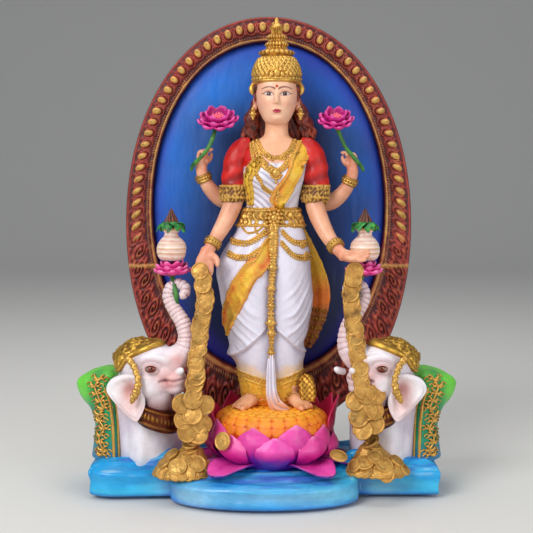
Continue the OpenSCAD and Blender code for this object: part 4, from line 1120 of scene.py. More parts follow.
def handParts(wrist, along, normal, curl=15, thumb=1, size=1.0, length=1.0):
    # palm, four jointed fingers and a thumb; along runs to the fingertips, normal comes out of the palm
    along = np.asarray(along, float) / np.linalg.norm(along)
    normal = np.asarray(normal, float)
    normal = normal - along * (normal @ along)
    normal /= np.linalg.norm(normal)
    across = np.cross(normal, along) * thumb
    parts = []

    def local(points):
        p = np.asarray(points, float)
        return np.asarray(wrist, float) + size * (p[:, :1] * along + p[:, 1:2] * across + p[:, 2:3] * normal)

    def tube(points, radii, cols=12):
        spots = local(points)
        keys = np.column_stack([spots, np.array(radii) * size, np.array(radii) * size])
        lean = normal if abs(normal @ (spots[-1] - spots[0])) < 0.8 * np.linalg.norm(spots[-1]
                - spots[0]) else across
        parts.append(closedLoft(limbRings(keys, 5, cols, lean)))

    palmSpots = local([[-0.8, 0, 0], [0.6, 0, 0], [2.4, 0.1, -0.1], [4.2, 0, 0], [5.0, 0, 0]])
    palmKeys = np.column_stack([palmSpots, np.array(hand["palmWidths"]) * size,
                                np.array(hand["palmDepths"]) * size])
    parts.append(closedLoft(limbRings(palmKeys, 5, 20, normal)))
    parts.append(ballMesh(local([[1.6, 1.5, 0.7]])[0], (1.3 * size, 1.2 * size, 1.2 * size), 14, 9))
    for k, (off, far) in enumerate(hand["fingers"]):
        bend, at, spots = 0.0, np.array([4.2, off, 0.0]), [[3.6, off * 0.95, -0.1]]
        for _ in range(4):
            spots.append(at.tolist())
            bend += math.radians(curl) * (0.7 + 0.15 * k)
            step = far * length / 3.0
            at = at + (step * math.cos(bend), 0.10 * off, step * math.sin(bend))
        tube(spots, hand["fingerRadii"], 12)
    tube([[1.0, 1.6, 0.6], [2.2, 2.9, 1.1], [3.6, 3.5, 1.3], [4.8, 3.6, 1.2]], hand["thumbRadii"], 12)
    return parts


def makeArm(name, keys, handSpec):
    parts = [closedLoft(limbRings(keys, 8, 30))]
    parts += handParts(**handSpec)
    mesh = melt(parts, 0.34, 5)
    p = mesh[0]
    skin, pink, shade = colours("#eeb390", "#dc8568", "#c5765a")
    wrist = np.asarray(handSpec["wrist"], float)
    far = np.linalg.norm(p - wrist, axis=1)
    c = mix(skin, shade, np.clip(0.25 + 0.4 * noiseAt(p, 6, 5), 0, 0.5))
    c = mix(c, pink, ramp(9, 2, far) * np.clip(0.35 + 0.5 * noiseAt(p, 2.5, 9), 0, 0.7))
    makePiece(name + "_cast", mesh, "skinPaint", c, [name])


arms = {
    "arm_front_right": ([[-11.2, 3.2, 106, 3.4, 3.4], [-12.0, 2.4, 102.6, 3.4, 3.4],
                         [-14.4, 0.2, 97, 3.1, 3.1], [-17.2, -2.4, 92, 2.6, 2.6], [-19.6, -4.4, 88, 2.1, 2.2],
                         [-20.6, -5.2, 86, 2.1, 2.0]],
                        dict(wrist=(-20.6, -5.2, 86.4), along=(-0.18, -0.50, -0.85),
                             normal=(0.12, -0.86, 0.42), curl=10, thumb=1, size=1.22, length=0.8)),
    "arm_front_left": ([[17.0, 3.2, 106, 3.4, 3.4], [17.4, 2.0, 101.6, 3.4, 3.4], [19.4, -0.8, 96, 3.1, 3.1],
                        [22.2, -4.6, 90.6, 2.6, 2.6], [25.0, -8.2, 87.0, 2.1, 2.2],
                        [26.4, -9.8, 85.6, 2.1, 2.1]],
                       dict(wrist=(26.4, -10.0, 85.4), along=(0.93, -0.36, -0.06), normal=(0.05, -0.50, 0.86),
                            curl=9, thumb=-1, size=1.20, length=0.9)),
    "arm_rear_right": ([[-8.4, 8.4, 110, 3.0, 2.8], [-11.8, 9.0, 104.6, 3.1, 2.9],
                        [-16.2, 8.8, 104.4, 3.0, 2.9], [-20.6, 7.6, 108.6, 2.6, 2.6],
                        [-23.0, 6.4, 113.4, 2.1, 2.1], [-23.3, 6.0, 116.6, 2.1, 2.0]],
                       dict(wrist=(-23.3, 5.8, 116.6), along=(0.10, -0.06, 1), normal=(0.8, -0.6, 0.0),
                            curl=42, thumb=-1, size=1.0, length=0.85)),
    "arm_rear_left": ([[14.6, 8.4, 110, 3.0, 2.8], [18.2, 9.0, 104.0, 3.1, 2.9], [23.2, 8.8, 103.4, 3.0, 2.9],
                       [27.8, 7.6, 107.2, 2.6, 2.6], [30.4, 6.4, 112.2, 2.1, 2.1],
                       [30.9, 6.0, 115.6, 2.1, 2.0]],
                      dict(wrist=(30.9, 5.8, 115.6), along=(-0.12, -0.06, 1), normal=(-0.8, -0.6, 0.0),
                           curl=42, thumb=1, size=1.0, length=0.85)),
}
for name, (keys, spec) in arms.items():
    makeArm(name, keys, spec)


def bangle(at, along, radius, high=3.0):  # three cast rings with a row of beads
    along = np.asarray(along, float) / np.linalg.norm(along)
    side = np.cross(along, (0, 1, 0))
    side /= np.linalg.norm(side)
    up = np.cross(side, along)
    a = roundAngles(72)
    s = np.linspace(-0.5, 0.5, 21)
    rise = 0.55 + 0.35 * np.abs(np.cos(s * math.pi * 3)) ** 0.7
    rise[[0, -1]] = 0.0
    beads = 1 + 0.28 * np.cos(a * 18)[None, :] * bell(s, 0, 0.13)[:, None]
    r = radius + rise[:, None] * beads
    ring = np.asarray(at) + (s * high)[:, None, None] * along + (r * np.cos(a))[...,
            None] * side + (r * np.sin(a))[..., None] * up
    return closedLoft(ring)


bangleParts = [
    bangle((-18.9, -3.8, 89.2), (-2.2, -1.8, -4), 2.15), bangle((24.0, -6.9, 88.4), (2.8, -3.4, -3.6), 2.15),
    bangle((-22.6, 6.9, 112.2), (-2.0, -1.0, 5), 2.1), bangle((29.9, 6.9, 111.0), (2.2, -1.0, 5), 2.1)]
bangleMesh = mergeMeshes(bangleParts)
makePiece("bangles_cast", bangleMesh, "goldPaint", goldTone, ["bangles"])
print("figure body ready")

# goddess: head

face = dict(x=3.6, eye=141.0, eyeGap=2.85, eyeHalf=1.8, mouth=135.3, chin=132.2)


def makeHead():
    keys = fromStand([[1.6, -0.4, 99.6, 2.4, 2.4], [1.6, -0.9, 100.7, 3.6, 4.3], [1.6, -1.0, 102.4, 4.9, 6.1],
                      [1.6, -0.9, 105, 6.2, 7.4],
                      [1.6, -0.6, 108, 7.1, 8.0], [1.6, -0.3, 111.4, 7.45, 8.3], [1.6, 0.0, 115, 7.3, 8.3],
                      [1.6, 0.2, 118, 6.4, 7.2], [1.6, 0.4, 120.4, 4.2, 4.6], [1.6, 0.4, 121.2, 1.2, 1.2]])
    rings = levelRings(keys, 30, 400, 2.15)
    a = roundAngles(rings.shape[1])[None, :]
    x, z = rings[..., 0] - face["x"], rings[..., 2]
    front = unit(np.cos(a)) ** 0.7 + 0 * x
    m = np.abs(x)

    def spot(cx, cz, sx, sz):
        return np.exp(-((m - cx) / sx) ** 2 - ((z - cz) / sz) ** 2)

    eye, gap, mouth = face["eye"], face["eyeGap"], face["mouth"]
    ridge = bell(x, 0, 0.72) * ramp(eye + 1.6, mouth + 3.0, z) * ramp(mouth + 2.1, mouth + 2.9, z) * 1.7
    tip = 0.45 * np.exp(-(x / 0.75) ** 2 - ((z - mouth - 3.05) / 0.6) ** 2) + 0.42 * spot(0.95, mouth + 2.75,
            0.4, 0.42)
    socket = -0.75 * spot(gap - 0.2, eye + 0.2, 1.7, 1.05) + 0.5 * spot(gap, eye, 1.05, 0.62)
    lids = 0.14 * bell(z - eye, 0.72 * (1 - ((m - gap) / 1.6) ** 2), 0.16) * (np.abs(m - gap) < 1.6)
    lips = 0.46 * bell(x, 0, 1.35) * (bell(z - mouth, 0.42, 0.34)
                                      + 1.1 * bell(z - mouth, -0.42, 0.36)) - 0.22 * bell(x, 0, 1.6) * bell(z,
            mouth, 0.14)
    groove = -0.14 * bell(x, 0, 0.3) * bell(z - mouth, 1.4, 0.6)
    chin = 0.75 * np.exp(-(x / 1.9) ** 2 - ((z - face["chin"]) / 1.1) ** 2) - 0.22 * bell(x, 0,
            1.4) * bell(z - mouth, -1.5, 0.5)
    cheek = 0.5 * spot(3.5, mouth + 2.9, 1.7, 1.8) + 0.18 * spot(2.6, eye + 1.9, 1.8, 0.5)
    grow = (ridge + tip + socket + lids + lips + groove + chin + cheek) * front
    rings = rings + np.stack([0.35 * np.sin(a) * grow, -grow * (0.4 + 0.6 * np.cos(a)), 0 * grow], -1)
    mesh = closedLoft(rings)
    skin, blush, shade, lip, brow, white, iris, pupil, red = colours("#f3c2a2", "#e88d7c", "#d4866c",
            "#c04058", "#6a100e", "#ded3ce", "#3c140c", "#0a0403", "#c01414")
    f0 = front > 0.45
    c = np.broadcast_to(skin, x.shape + (3,)).copy()
    c = mix(c, blush, unit(spot(3.4, mouth + 2.4, 1.6, 1.4) * 0.42 + spot(0, face["chin"], 1.6, 0.8) * 0.2)
            * front)
    c = mix(c, shade, 0.3 * f0 * bell(m, 1.05, 0.4) * ramp(mouth + 2.0, mouth + 3.2, z) * ramp(eye + 1.5, eye,
            z))
    c = mix(c, shade, np.clip(ramp(3.2, 6.6, m) * 0.35 + ramp(132, 130.6, z) * 0.4
                              + spot(gap, eye + 1.1, 1.6, 0.35) * 0.35, 0, 0.7))
    f = f0
    bow = mouth + 0.5 + 0.26 * bell(m, 0.55, 0.4) - 0.55 * (m / 1.7) ** 2
    low = mouth - 0.85 * np.sqrt(unit(1 - (m / 1.55) ** 2))
    c = mix(c, lip, f * (m < 1.75) * ramp(0.0, 0.14, bow - z) * ramp(-0.02, 0.14, z - low))
    c = mix(c, brow, f * 0.55 * bell(z, mouth, 0.09) * (m < 1.6))
    t = (m - gap) / face["eyeHalf"]
    upper, lower = eye + 0.16 * t + 0.80 * unit(1 - t ** 2) ** 0.8, eye + 0.16 * t - 0.50 * unit(1 - t ** 2)
    inside = f * (np.abs(t) < 1) * ramp(0, 0.1, upper - z) * ramp(0, 0.1, z - lower)
    c = mix(c, white, inside)
    pupilR = np.hypot(m - gap - 0.0, z - eye - 0.10)
    c = mix(c, iris, inside * ramp(0.82, 0.72, pupilR))
    c = mix(c, pupil, inside * ramp(0.46, 0.36, pupilR))
    # small white spot in each pupil: painted highlight
    c = mix(c, white, inside * ramp(0.16, 0.08, np.hypot(x - np.sign(x) * gap + 0.16, z - eye - 0.32)))
    lash = bell(z - upper, 0.08, 0.2) * (np.abs(t) < 1.02) + bell(z - eye - 0.16, 0.3 * (t - 1),
            0.15) * ((t > 0.95) & (t < 1.45))
    c = mix(c, brow, f * unit(lash + 0.8 * bell(z, lower, 0.12) * (np.abs(t) < 1)))
    s = (m - 2.9) / 2.35
    arc = eye + 1.85 + 0.65 * (1 - s ** 2)
    c = mix(c, brow, f * bell(z, arc, 0.27 - 0.11 * s) * (np.abs(s) < 1))
    c = mix(c, red, f * ramp(0.52, 0.42, np.hypot(x, z - eye - 2.7)))
    c = withEnds(c, skin, skin)
    makePiece("head_cast", mesh, "skinPaint", c, ["head"])


def makeEars():
    parts = []
    for side in (-1, 1):
        cx = face["x"] + side * 7.5
        shell = [ballMesh((cx, 4.6, 139.4), (0.9, 1.5, 2.5), 20, 14),
                 ballMesh((cx + side * 0.2, 4.3, 137.0), (0.9, 1.0, 1.3), 18, 12)]
        parts += shell
    mesh = melt(parts, 0.25, 3)
    p = mesh[0]
    hollow = np.exp(-(((p[:, 1] - 3.6) / 0.7) ** 2 + ((p[:, 2] - 139.4) / 1.4) ** 2))
    p[:, 0] -= np.sign(p[:, 0] - face["x"]) * 0.5 * hollow
    skin, shade = colours("#eeb492", "#b8604a")
    makePiece("ears_cast", (p, mesh[1]), "skinPaint", mix(skin, shade, np.clip(hollow, 0, 0.8)), [])


def makeHair():
    # locks fall behind the ears to the shoulders, each a twisted, waving tube
    rnd = np.random.default_rng(5)
    parts = []
    for side in (-1, 1):
        for k in range(17):
            t = k / 16
            top = np.array([face["x"] + side * (5.6 + 1.6 * rnd.random()), 5.0 + 3.4 * t + rnd.random(),
                            144.0 - 5 * rnd.random()])
            endX = face["x"] + side * (8.4 + 4.2 * rnd.random() + 1.0 * (1 - t)) + 1.2
            low = np.array([endX, 4.4 + 4.2 * t, 126.2 - 2.0 * rnd.random() + 2.6 * t])
            mid = np.array([face["x"] + side * (7.6 + 1.6 * rnd.random()), 6.0 + 2.6 * t,
                            134 + 2 * rnd.random()])
            s = np.linspace(0, 1, 34)[:, None]
            path = (1 - s) ** 2 * top + 2 * s * (1 - s) * mid + s ** 2 * low
            phase = rnd.random() * 6.28
            wave = 0.85 * ramp(0.15, 0.6, s[:, 0])
            path[:, 0] += wave * 1.15 * np.sin(s[:, 0] * 19 + phase)
            path[:, 1] += wave * 0.8 * np.cos(s[:, 0] * 17 + phase)
            radius = 1.3 * np.sin(math.pi * (0.12 + 0.84 * s[:, 0])) ** 0.5
            rings = limbRings(np.column_stack([path, radius, radius]), 2, 16, (0, 1, 0))
            midLine = rings.mean(1, keepdims=True)
            twist = roundAngles(16)[None, :] * 3 + np.arange(len(rings))[:, None] * 0.35
            rings = midLine + (rings - midLine) * (1 + 0.20 * np.cos(twist))[..., None]
            parts.append(closedLoft(rings))
        for k in range(9):  # soft waves over the temple
            t = k / 8
            s = np.linspace(0, 1, 22)[:, None]
            a0, a1 = np.array([face["x"] + side * 5.6, 0.2 + 5 * t, 146.4]), np.array([face["x"] + side * 7.4,
                    2.4 + 4.6 * t, 139.4])
            path = a0 * (1 - s) + a1 * s + np.array([side * 0.9, 0, 0]) * np.sin(math.pi * s)
            path[:, 1] += 0.35 * np.sin(s[:, 0] * 12 + k)
            parts.append(closedLoft(limbRings(np.column_stack([path, np.full(22, 0.62), np.full(22, 0.62)]),
                                              2, 10, (0, 1, 0))))
    mass = levelRings(fromStand([[1.7, 5.0, 93.8, 7.4, 1.6], [1.8, 5.0, 96, 10.2, 2.4],
                                 [1.8, 5.2, 99.5, 10.0, 3.0], [1.8, 5.2, 104, 8.2, 3.4],
                                 [1.7, 4.9, 109, 7.8, 4.2], [1.6, 4.9, 113.5, 7.6, 4.2],
                                 [1.6, 4.6, 117, 6.2, 3.6]]), 8, 120)
    a = roundAngles(120)[None, :]
    wave = 0.45 * np.sin(a * 22 + mass[..., 2] * 0.8)
    mass = mass + np.stack([np.sin(a) * wave, -np.cos(a) * wave, 0 * wave], -1)
    parts.append(closedLoft(mass))
    mesh = mergeMeshes(parts)
    brown, auburn, dark = colours("#6f2413", "#a5492a", "#34100a")
    n = noiseAt(mesh[0], 2.2, 14)
    c = mix(mix(brown, dark, ramp(0, 0.8, -n)), auburn, ramp(0.2, 0.9, n))
    makePiece("hair_cast", mesh, "hairPaint", c, ["hair"])


makeHead()
makeEars()
makeHair()

# crown and jewellery

crown = dict(x=3.6, y=4.2, foot=145.7, nets=26, netMm=0.42)


def makeCrown():
    profile = np.array([[8.5, -0.9], [9.0, -0.2], [9.3, 0.9], [9.0, 2.0], [8.9, 3.2], [8.4, 5.2], [7.4, 7.2],
                        [6.3, 8.7], [5.7, 9.2], [6.5, 9.8], [6.6, 10.5], [5.8, 11.0], [4.3, 11.5],
                        [3.7, 12.2], [4.3, 12.9], [4.2, 13.5], [3.3, 14.2], [3.0, 14.8], [3.7, 15.5],
                        [3.6, 16.1], [2.4, 16.8], [1.8, 17.5], [2.1, 18.3], [2.7, 19.1], [2.2, 19.9],
                        [1.2, 20.6], [0.9, 21.4], [0.7, 22.2], [0.1, 22.7]])
    rz = curvePoints(profile, 9) * (0.95, 1)
    a = roundAngles(300)[None, :]
    r, z = rz[:, :1], rz[:, 1:]
    dome = ramp(1.9, 2.4, z) * ramp(9.0, 8.4, z)
    net = np.maximum(np.abs(np.sin(a * crown["nets"] / 2 + z * 1.35)),
                     np.abs(np.sin(a * crown["nets"] / 2 - z * 1.35))) ** 7
    seeds = 0.5 + 0.5 * np.sin(a * crown["nets"]) * np.sin(z * 2.7)
    rise = crown["netMm"] * dome * (net + 0.5 * seeds)
    band = ramp(-0.3, 0.0, z) * ramp(2.2, 1.9, z)
    rise = rise + band * (0.3 * (0.5 + 0.5 * np.cos(a * 34)) * bell(z, 1.0, 0.45) + 0.25 * bell(z, 0.1, 0.2)
                          + 0.25 * bell(z, 1.9, 0.2))
    tiers = ramp(9.2, 9.8, z)
    rise = rise + tiers * 0.13 * np.cos(a * 20) * (z < 19)
    rr = r + rise
    rings = np.stack([crown["x"] + rr * np.sin(a), crown["y"] - rr * 1.02 * np.cos(a),
                      crown["foot"] + z + 0 * a], -1)
    mesh = closedLoft(rings)
    gold, deep = colours("#e2b259", "#a06a26")
    c = mix(deep, gold, ramp(-0.05, 0.3, np.broadcast_to(rise, rings.shape[:2]) + 0.14
                             + 0.08 * noiseAt(rings, 2, 4)))
    parts = [mesh]
    tones = [withEnds(c, deep, gold)]
    front = crown["y"] - 9.6
    ornament = [ballMesh((crown["x"], front, crown["foot"] + 2.6), (1.1, 0.7, 1.3), 18, 12),
                ballMesh((crown["x"], front + 0.2, crown["foot"] + 4.4), (0.6, 0.5, 0.9), 14, 9)]
    for side in (-1, 1):
        for dx, dz, s in ((1.9, 2.1, 0.8), (3.4, 2.5, 0.68), (4.8, 2.2, 0.58), (1.2, 3.7, 0.6),
                          (2.7, 3.6, 0.5)):
            bend = 0.06 * dx * dx
            ornament.append(ballMesh((crown["x"] + side * dx, front + bend + 0.1, crown["foot"] + dz),
                                     (s, 0.5, s), 14, 9))
        ornament.append(closedLoft(limbRings([[crown["x"] + side * 8.2, 3.6, 145.6, 0.5, 0.5],
                                              [crown["x"] + side * 8.8, 3.2, 143.6, 1.0, 0.8],
                                              [crown["x"] + side * 8.6, 3.0, 142.2, 0.9, 0.7],
                                              [crown["x"] + side * 8.3, 3.0, 141.2, 0.3, 0.3]], 6, 16)))
    extra = mergeMeshes(ornament)
    parts.append(extra)
    tones.append(np.broadcast_to(gold, (len(extra[0]), 3)))
    makePiece("crown_cast", mergeMeshes(parts), "goldPaint", np.concatenate(tones), ["crown"])


makeCrown()


def jewelStrip(tree, keys, half, height, beads, steps=12, look=ahead):
    # flat gold strip with a row of beads down the middle
    rows = [list(k[:3]) + [half] for k in keys]
    u = np.linspace(-1, 1, 9)
    mesh, _, _ = ribbon(tree, rows, height * (0.55 + 0.45 * np.abs(u)) * (np.abs(u) < 0.99), steps, look,
                        0.18, 0.9)
    p = curvePoints([k[:3] for k in keys], steps)
    spots, normals = onSurface(tree, p, height * 0.6, look)
    row = copiesAlong(spots, scaled(bead, beads * 0.92, beads, beads * 0.85), beads * 1.95, normals=normals)
    return mergeMeshes([mesh, row])


def drops(tree, keys, size, spacing, look=ahead, hang=0.9):
    p = curvePoints([k[:3] for k in keys], 12)
    spots, normals = onSurface(tree, p, 0.25, look)
    spots = spots - np.array([0, 0, 1]) * hang
    spots, normals = onSurface(tree, spots, 0.25, look)
    return copiesAlong(spots, scaled(bead, size * 0.7, size, size * 0.6), spacing, normals=normals)


chest = [
    jewelStrip(torsoTree, [[-3.4, 2, 125.2], [-2.2, -4, 122.8], [0.4, -6, 120.9], [3.3, -7, 120.2],
                           [6.2, -6, 120.9], [8.8, -4, 122.8], [10.0, 2, 125.2]], 1.0, 0.55, 0.5, look=None),
    jewelStrip(torsoTree, [[-4.8, 2, 124.8], [-3.2, -5, 120.6], [-0.6, -8, 117.4], [3.3, -9, 115.2],
                           [7.2, -8, 117.4], [9.8, -5, 120.6], [11.2, 2, 124.8]], 1.15, 0.6, 0.6, look=None),
    jewelStrip(torsoTree, [[-5.6, 2, 124.4], [-4.6, -6, 118.6], [-3.0, -9, 112.4], [-0.2, -9, 108.4],
                           [3.2, -9, 107.2], [6.6, -9, 109.2], [8.6, -9, 113.4], [9.9, -6, 118.6],
                           [11.6, 2, 124.4]], 0.75, 0.6, 0.5),
    drops(torsoTree, [[-3.2, -5, 120.6], [-0.6, -8, 117.4], [3.3, -9, 115.2], [7.2, -8, 117.4],
                      [9.8, -5, 120.6]], 0.75, 1.25, hang=1.2),
]
pendant, _ = onSurface(torsoTree, [[3.3, -9, 113.6], [3.3, -9, 107.0]], 0.5, ahead)
for spot, big in ((pendant[0], 1.5), (pendant[1], 1.3)):
    chest.append(ballMesh(spot, (big, 0.8, big), 20, 12))
    for k in range(7):
        a = math.radians(-20 - 140 * k / 6)
        chest.append(ballMesh(spot + np.array([math.cos(a) * big * 1.25, 0.1, math.sin(a) * big * 1.25]),
                              (0.5, 0.45, 0.5), 12, 8))
    chest.append(ballMesh(spot + np.array([0, 0.1, -big * 2.0]), (0.45, 0.45, 0.8), 12, 8))
chestMesh = mergeMeshes(chest)
makePiece("necklaces_cast", chestMesh, "goldPaint", goldTone, ["necklaces"])

# belt: two beaded cords, scroll relief between, a rosette in front, and hip chains below
belt = dict(rosette=98.0)


def makeBelt():
    keys = fromStand([[-0.4, 0, 63.6, 12.0, 7.9], [-0.4, 0, 64.6, 12.2, 8.2], [-0.3, 0, 67.4, 11.0, 7.6],
                      [-0.2, 0, 70.6, 10.2, 7.1], [-0.2, 0, 71.2, 9.6, 6.6]])
    rings = levelRings(keys, 14, 420, 2.1)
    a = roundAngles(420)[None, :]
    z = rings[..., 2]
    cords = 0.5 * bell(z, 95.4, 0.45) + 0.45 * bell(z, 100.6, 0.45)
    cords = cords * (0.75 + 0.25 * np.cos(a * 70))
    scroll = 0.5 * np.cos(a * 24 + 2.2 * np.sin(z * 1.35)) * bell(z, 98, 1.9) + 0.25 * noiseAt(rings, 1.1, 33)
    out = np.stack([np.sin(a) + 0 * z, -np.cos(a) + 0 * z, 0 * z], -1)
    rings = rings + out * (cords + scroll)[..., None]
    parts = [closedLoft(rings)]
    cx, front = 2.7, rings[:, 0, 1].min() - 0.1
    for ring, count, size in ((0, 1, 1.25), (1.75, 8, 0.78), (2.9, 12, 0.6)):
        for k in range(count):
            t = 2 * math.pi * k / count
            parts.append(ballMesh((cx + ring * math.cos(t), front + 0.16 * ring,
                                   belt["rosette"] + ring * math.sin(t)), (size, 0.75, size), 14, 9))
    chains = [
        [[-13.0, -2, 90.8], [-9.6, -6, 89.6], [-5, -9, 90.2], [-0.4, -9, 93.6]],
        [[-13.4, -2, 85.9], [-9.8, -7, 84.6], [-5, -9, 85.4], [0.0, -9, 89.4]],
        [[16.6, -2, 90.6], [13.6, -6, 89.4], [9.2, -9, 90.2], [5.4, -9, 93.6]],
        [[17.0, -2, 85.6], [13.8, -7, 84.4], [9.4, -9, 85.4], [5.2, -9, 89.8]]]
    for keysHere in chains:
        parts.append(jewelStrip(skirtTree, keysHere, 0.75, 0.55, 0.5))
        parts.append(drops(skirtTree, keysHere, 0.62, 0.95, hang=1.15))
    for keysHere in ([[-9.0, -5, 95.2], [-6.6, -8, 92.8], [-3.4, -9, 93.4], [-1, -9, 95.4]],
                     [[-4, -9, 94.6], [-3.2, -9, 92.6], [-0.6, -9, 92.0], [1.4, -9, 94.4]]):
        parts.append(jewelStrip(skirtTree, keysHere, 0.4, 0.45, 0.34))
    mesh = mergeMeshes(parts)
    makePiece("belt_cast", mesh, "goldPaint", goldTone, ["waist_belt"])


def makeGarland():
    # the long tassel chain down the middle of the skirt: links, leaves and rosettes
    path = curvePoints([[2.8, -9, 95], [2.6, -9, 90], [2.2, -9, 84], [1.8, -9, 78], [1.5, -9, 70],
                        [1.5, -9, 62], [1.6, -9, 54], [1.6, -9, 44.6]], 12)
    spots, _ = onSurface(skirtTree, path, 0.9, ahead)
    spots[:, 1] = np.minimum(spots[:, 1], np.convolve(np.pad(spots[:, 1], 6, "edge"), np.ones(13) / 13,
                                                      "valid"))
    keysHere = np.column_stack([spots, np.interp(np.arange(len(spots)), [0, 20, 60, len(spots)],
                                                 [1.5, 1.0, 0.75, 0.6]), np.full(len(spots), 0.9)])
    parts = [closedLoft(limbRings(keysHere[::3], 3, 14, (0, 1, 0)))]
    rnd = np.random.default_rng(3)
    for k in range(0, len(spots), 2):
        w = rnd.uniform(-1, 1, 3)
        s = np.interp(k, [0, 30, len(spots)], [0.85, 0.62, 0.5])
        for side in (-1, 1):
            parts.append(ballMesh(spots[k] + (side * s * (1.0 + 0.3 * w[0]), -0.5 + 0.2 * w[1], 0.3 * w[2]),
                                  (s, 0.6, s), 12, 8))
    for zz, big in ((92.0, 1.5), (86.5, 1.3), (80.5, 1.35), (73.6, 1.0), (67.6, 1.0), (61.0, 1.5),
                    (57.6, 1.3), (51.0, 1.0), (44.8, 1.15)):
        k = int(np.argmin(np.abs(spots[:, 2] - zz)))
        parts.append(ballMesh(spots[k] + (0, -0.7, 0), (big, 0.8, big), 18, 11))
        for j in range(6):
            t = 2 * math.pi * j / 6
            parts.append(ballMesh(spots[k] + (math.cos(t) * big, -0.5, math.sin(t) * big), (0.5, 0.45, 0.5),
                                  10, 7))
    makePiece("centre_garland", mergeMeshes(parts), "goldPaint", goldTone, ["skirt_tassel"])


makeBelt()
makeGarland()
earringParts = []
for side in (-1, 1):
    cx = face["x"] + side * 8.4
    earringParts += [ballMesh((cx, 3.0, 136.2), (0.7, 0.6, 0.7)), ballMesh((cx, 2.9, 134.6), (1.0, 0.8, 1.0)),
                     ballMesh((cx, 2.9, 133.2), (0.55, 0.5, 0.9))]
    for k in range(6):
        t = 2 * math.pi * k / 6
        earringParts.append(ballMesh((cx + math.cos(t) * 1.0, 2.7, 134.6 + math.sin(t) * 1.0),
                                     (0.35, 0.35, 0.35), 10, 7))
makePiece("earrings_cast", mergeMeshes(earringParts), "goldPaint", goldTone, ["earrings"])
print("head and jewellery ready")

# feet, anklets, cloth ends and hand flowers


def footMesh(x, turn):
    # heel, instep and five separate toes, melted together; toes point along -y before turning
    parts = [closedLoft(limbRings([[0, 4.6, 0.6, 1.6, 1.2], [0, 3.6, 1.6, 2.2, 1.9], [0, 1.4, 2.2, 2.3, 2.2],
                                   [0, -1.6, 1.9, 2.6, 1.9],
                                   [0, -4.0, 1.4, 3.0, 1.4], [0, -5.6, 1.1, 2.9, 1.05],
                                   [0, -6.2, 1.0, 2.2, 0.8]], 6, 28, (0, 0, 1))),
             closedLoft(limbRings([[0, 2.6, 0.5, 2.0, 2.0], [0, 2.4, 3.2, 1.9, 2.1], [0, 2.2, 6.4, 2.3, 2.5]],
                                  6, 20, (0, 1, 0)))]
    inner = 1 if x < 0 else -1
    for k in range(5):
        off = inner * (2.15 - 1.08 * k)
        far, size = (-7.9, 0.86) if k == 0 else (-7.6 + 0.36 * k, 0.64 - 0.035 * k)
        parts.append(closedLoft(limbRings([[off * 0.9, -4.6, 1.2, size * 0.9, size],
                                           [off, -6.2, 1.1, size, size],
                                           [off * 1.02, far, 0.8, size * 0.92, size * 0.9],
                                           [off * 1.02, far - 0.6, 0.62, size * 0.4, size * 0.4]], 5, 12,
                                           (0, 0, 1))))
    verts, faces = melt(parts, 0.24, 3)
    verts = turned(verts * (1.16, 1.12, 1.2), (0, 0, 1), turn)
    return verts + (x + stand[0], -4.5 + stand[1], stand[2]), faces


def anklet(x, turn):
    a = roundAngles(60)
    parts = []
    for z, r in ((3.2, 2.75), (4.3, 2.65)):
        path = np.stack([np.cos(a) * r, 2.2 + np.sin(a) * r * 1.08, z + 0.25 * np.sin(a)], -1)
        parts.append(copiesAlong(path, scaled(bead, 0.55, 0.6, 0.55), 0.85))
    path = np.stack([np.cos(a) * 2.95, 2.2 + np.sin(a) * 3.1, 2.4 + 0 * a], -1)
    parts.append(copiesAlong(path, scaled(bead, 0.4, 0.45, 0.75), 1.3))
    verts, faces = mergeMeshes(parts)
    verts = turned(verts * (1.14, 1.12, 1.1), (0, 0, 1), turn)
    return verts + (x + stand[0], -4.5 + stand[1], stand[2]), faces


feet = {"foot_right": (-7.6, -34), "foot_left": (8.2, 30)}
ankletParts = []
for name, (x, turn) in feet.items():
    mesh = footMesh(x, turn)
    skin, pink = colours("#efb68e", "#df8c58")
    n = noiseAt(mesh[0], 2.2, 4)
    makePiece(name + "_cast", mesh, "skinPaint", mix(skin, pink,
                                                     np.clip(0.3 + 0.6 * n + 0.35 * ramp(-6, -9,
            mesh[0][:, 1] + 3), 0, 0.8)), [name])
    ankletParts.append(anklet(x, turn))
makePiece("anklets", mergeMeshes(ankletParts), "goldPaint", goldTone, [])

# cloth end in folds beside the left foot, and the shawl end hanging behind the left hip


def hangingCloth(keys, folds, depth, cols=120, steps=16, up=(0, 1, 0)):
    rings = limbRings(keys, steps, cols, up, 2.6)
    a = roundAngles(cols)[None, :, None]
    mid = rings.mean(1, keepdims=True)
    wave = depth * np.cos(np.cos(a) * math.pi * folds)
    lean = rings - mid
    shift = np.zeros_like(rings)
    shift[..., 1] = (wave * np.abs(np.sin(a)) * np.sign(-lean[..., 1:2]))[..., 0] * 0.5 + wave[..., 0] * 0.5
    return closedLoft(rings + shift)


tailMesh = hangingCloth(fromStand([[9.0, 6.8, 62, 3.2, 1.1], [12.2, 6.8, 54, 4.2, 1.1],
                                   [14.6, 6.6, 46, 5.2, 1.1], [15.9, 6.4, 39, 5.4, 1.1],
                                   [15.4, 6.2, 33, 4.8, 1.2], [14.2, 6.0, 28, 3.9, 1.3],
                                   [13.0, 5.8, 23, 3.0, 1.2], [12.4, 5.6, 20, 1.6, 0.9]]), 2.2, 0.5)
p = tailMesh[0]
yellow, orange, bronze, darkGold = colours("#edb52b", "#e8791b", "#9c5a1c", "#6a3a12")
c = mix(yellow, orange, unit(ramp(80, 68, p[:, 2]) + 0.3 * noiseAt(p, 4, 3)))
c = mix(c, bronze, ramp(67, 62, p[:, 2] + 1.2 * noiseAt(p, 2, 5)))
c = mix(c, darkGold, ramp(0.2, 0.8, noiseAt(p, 1.2, 9)) * ramp(67, 61, p[:, 2]) * 0.7)
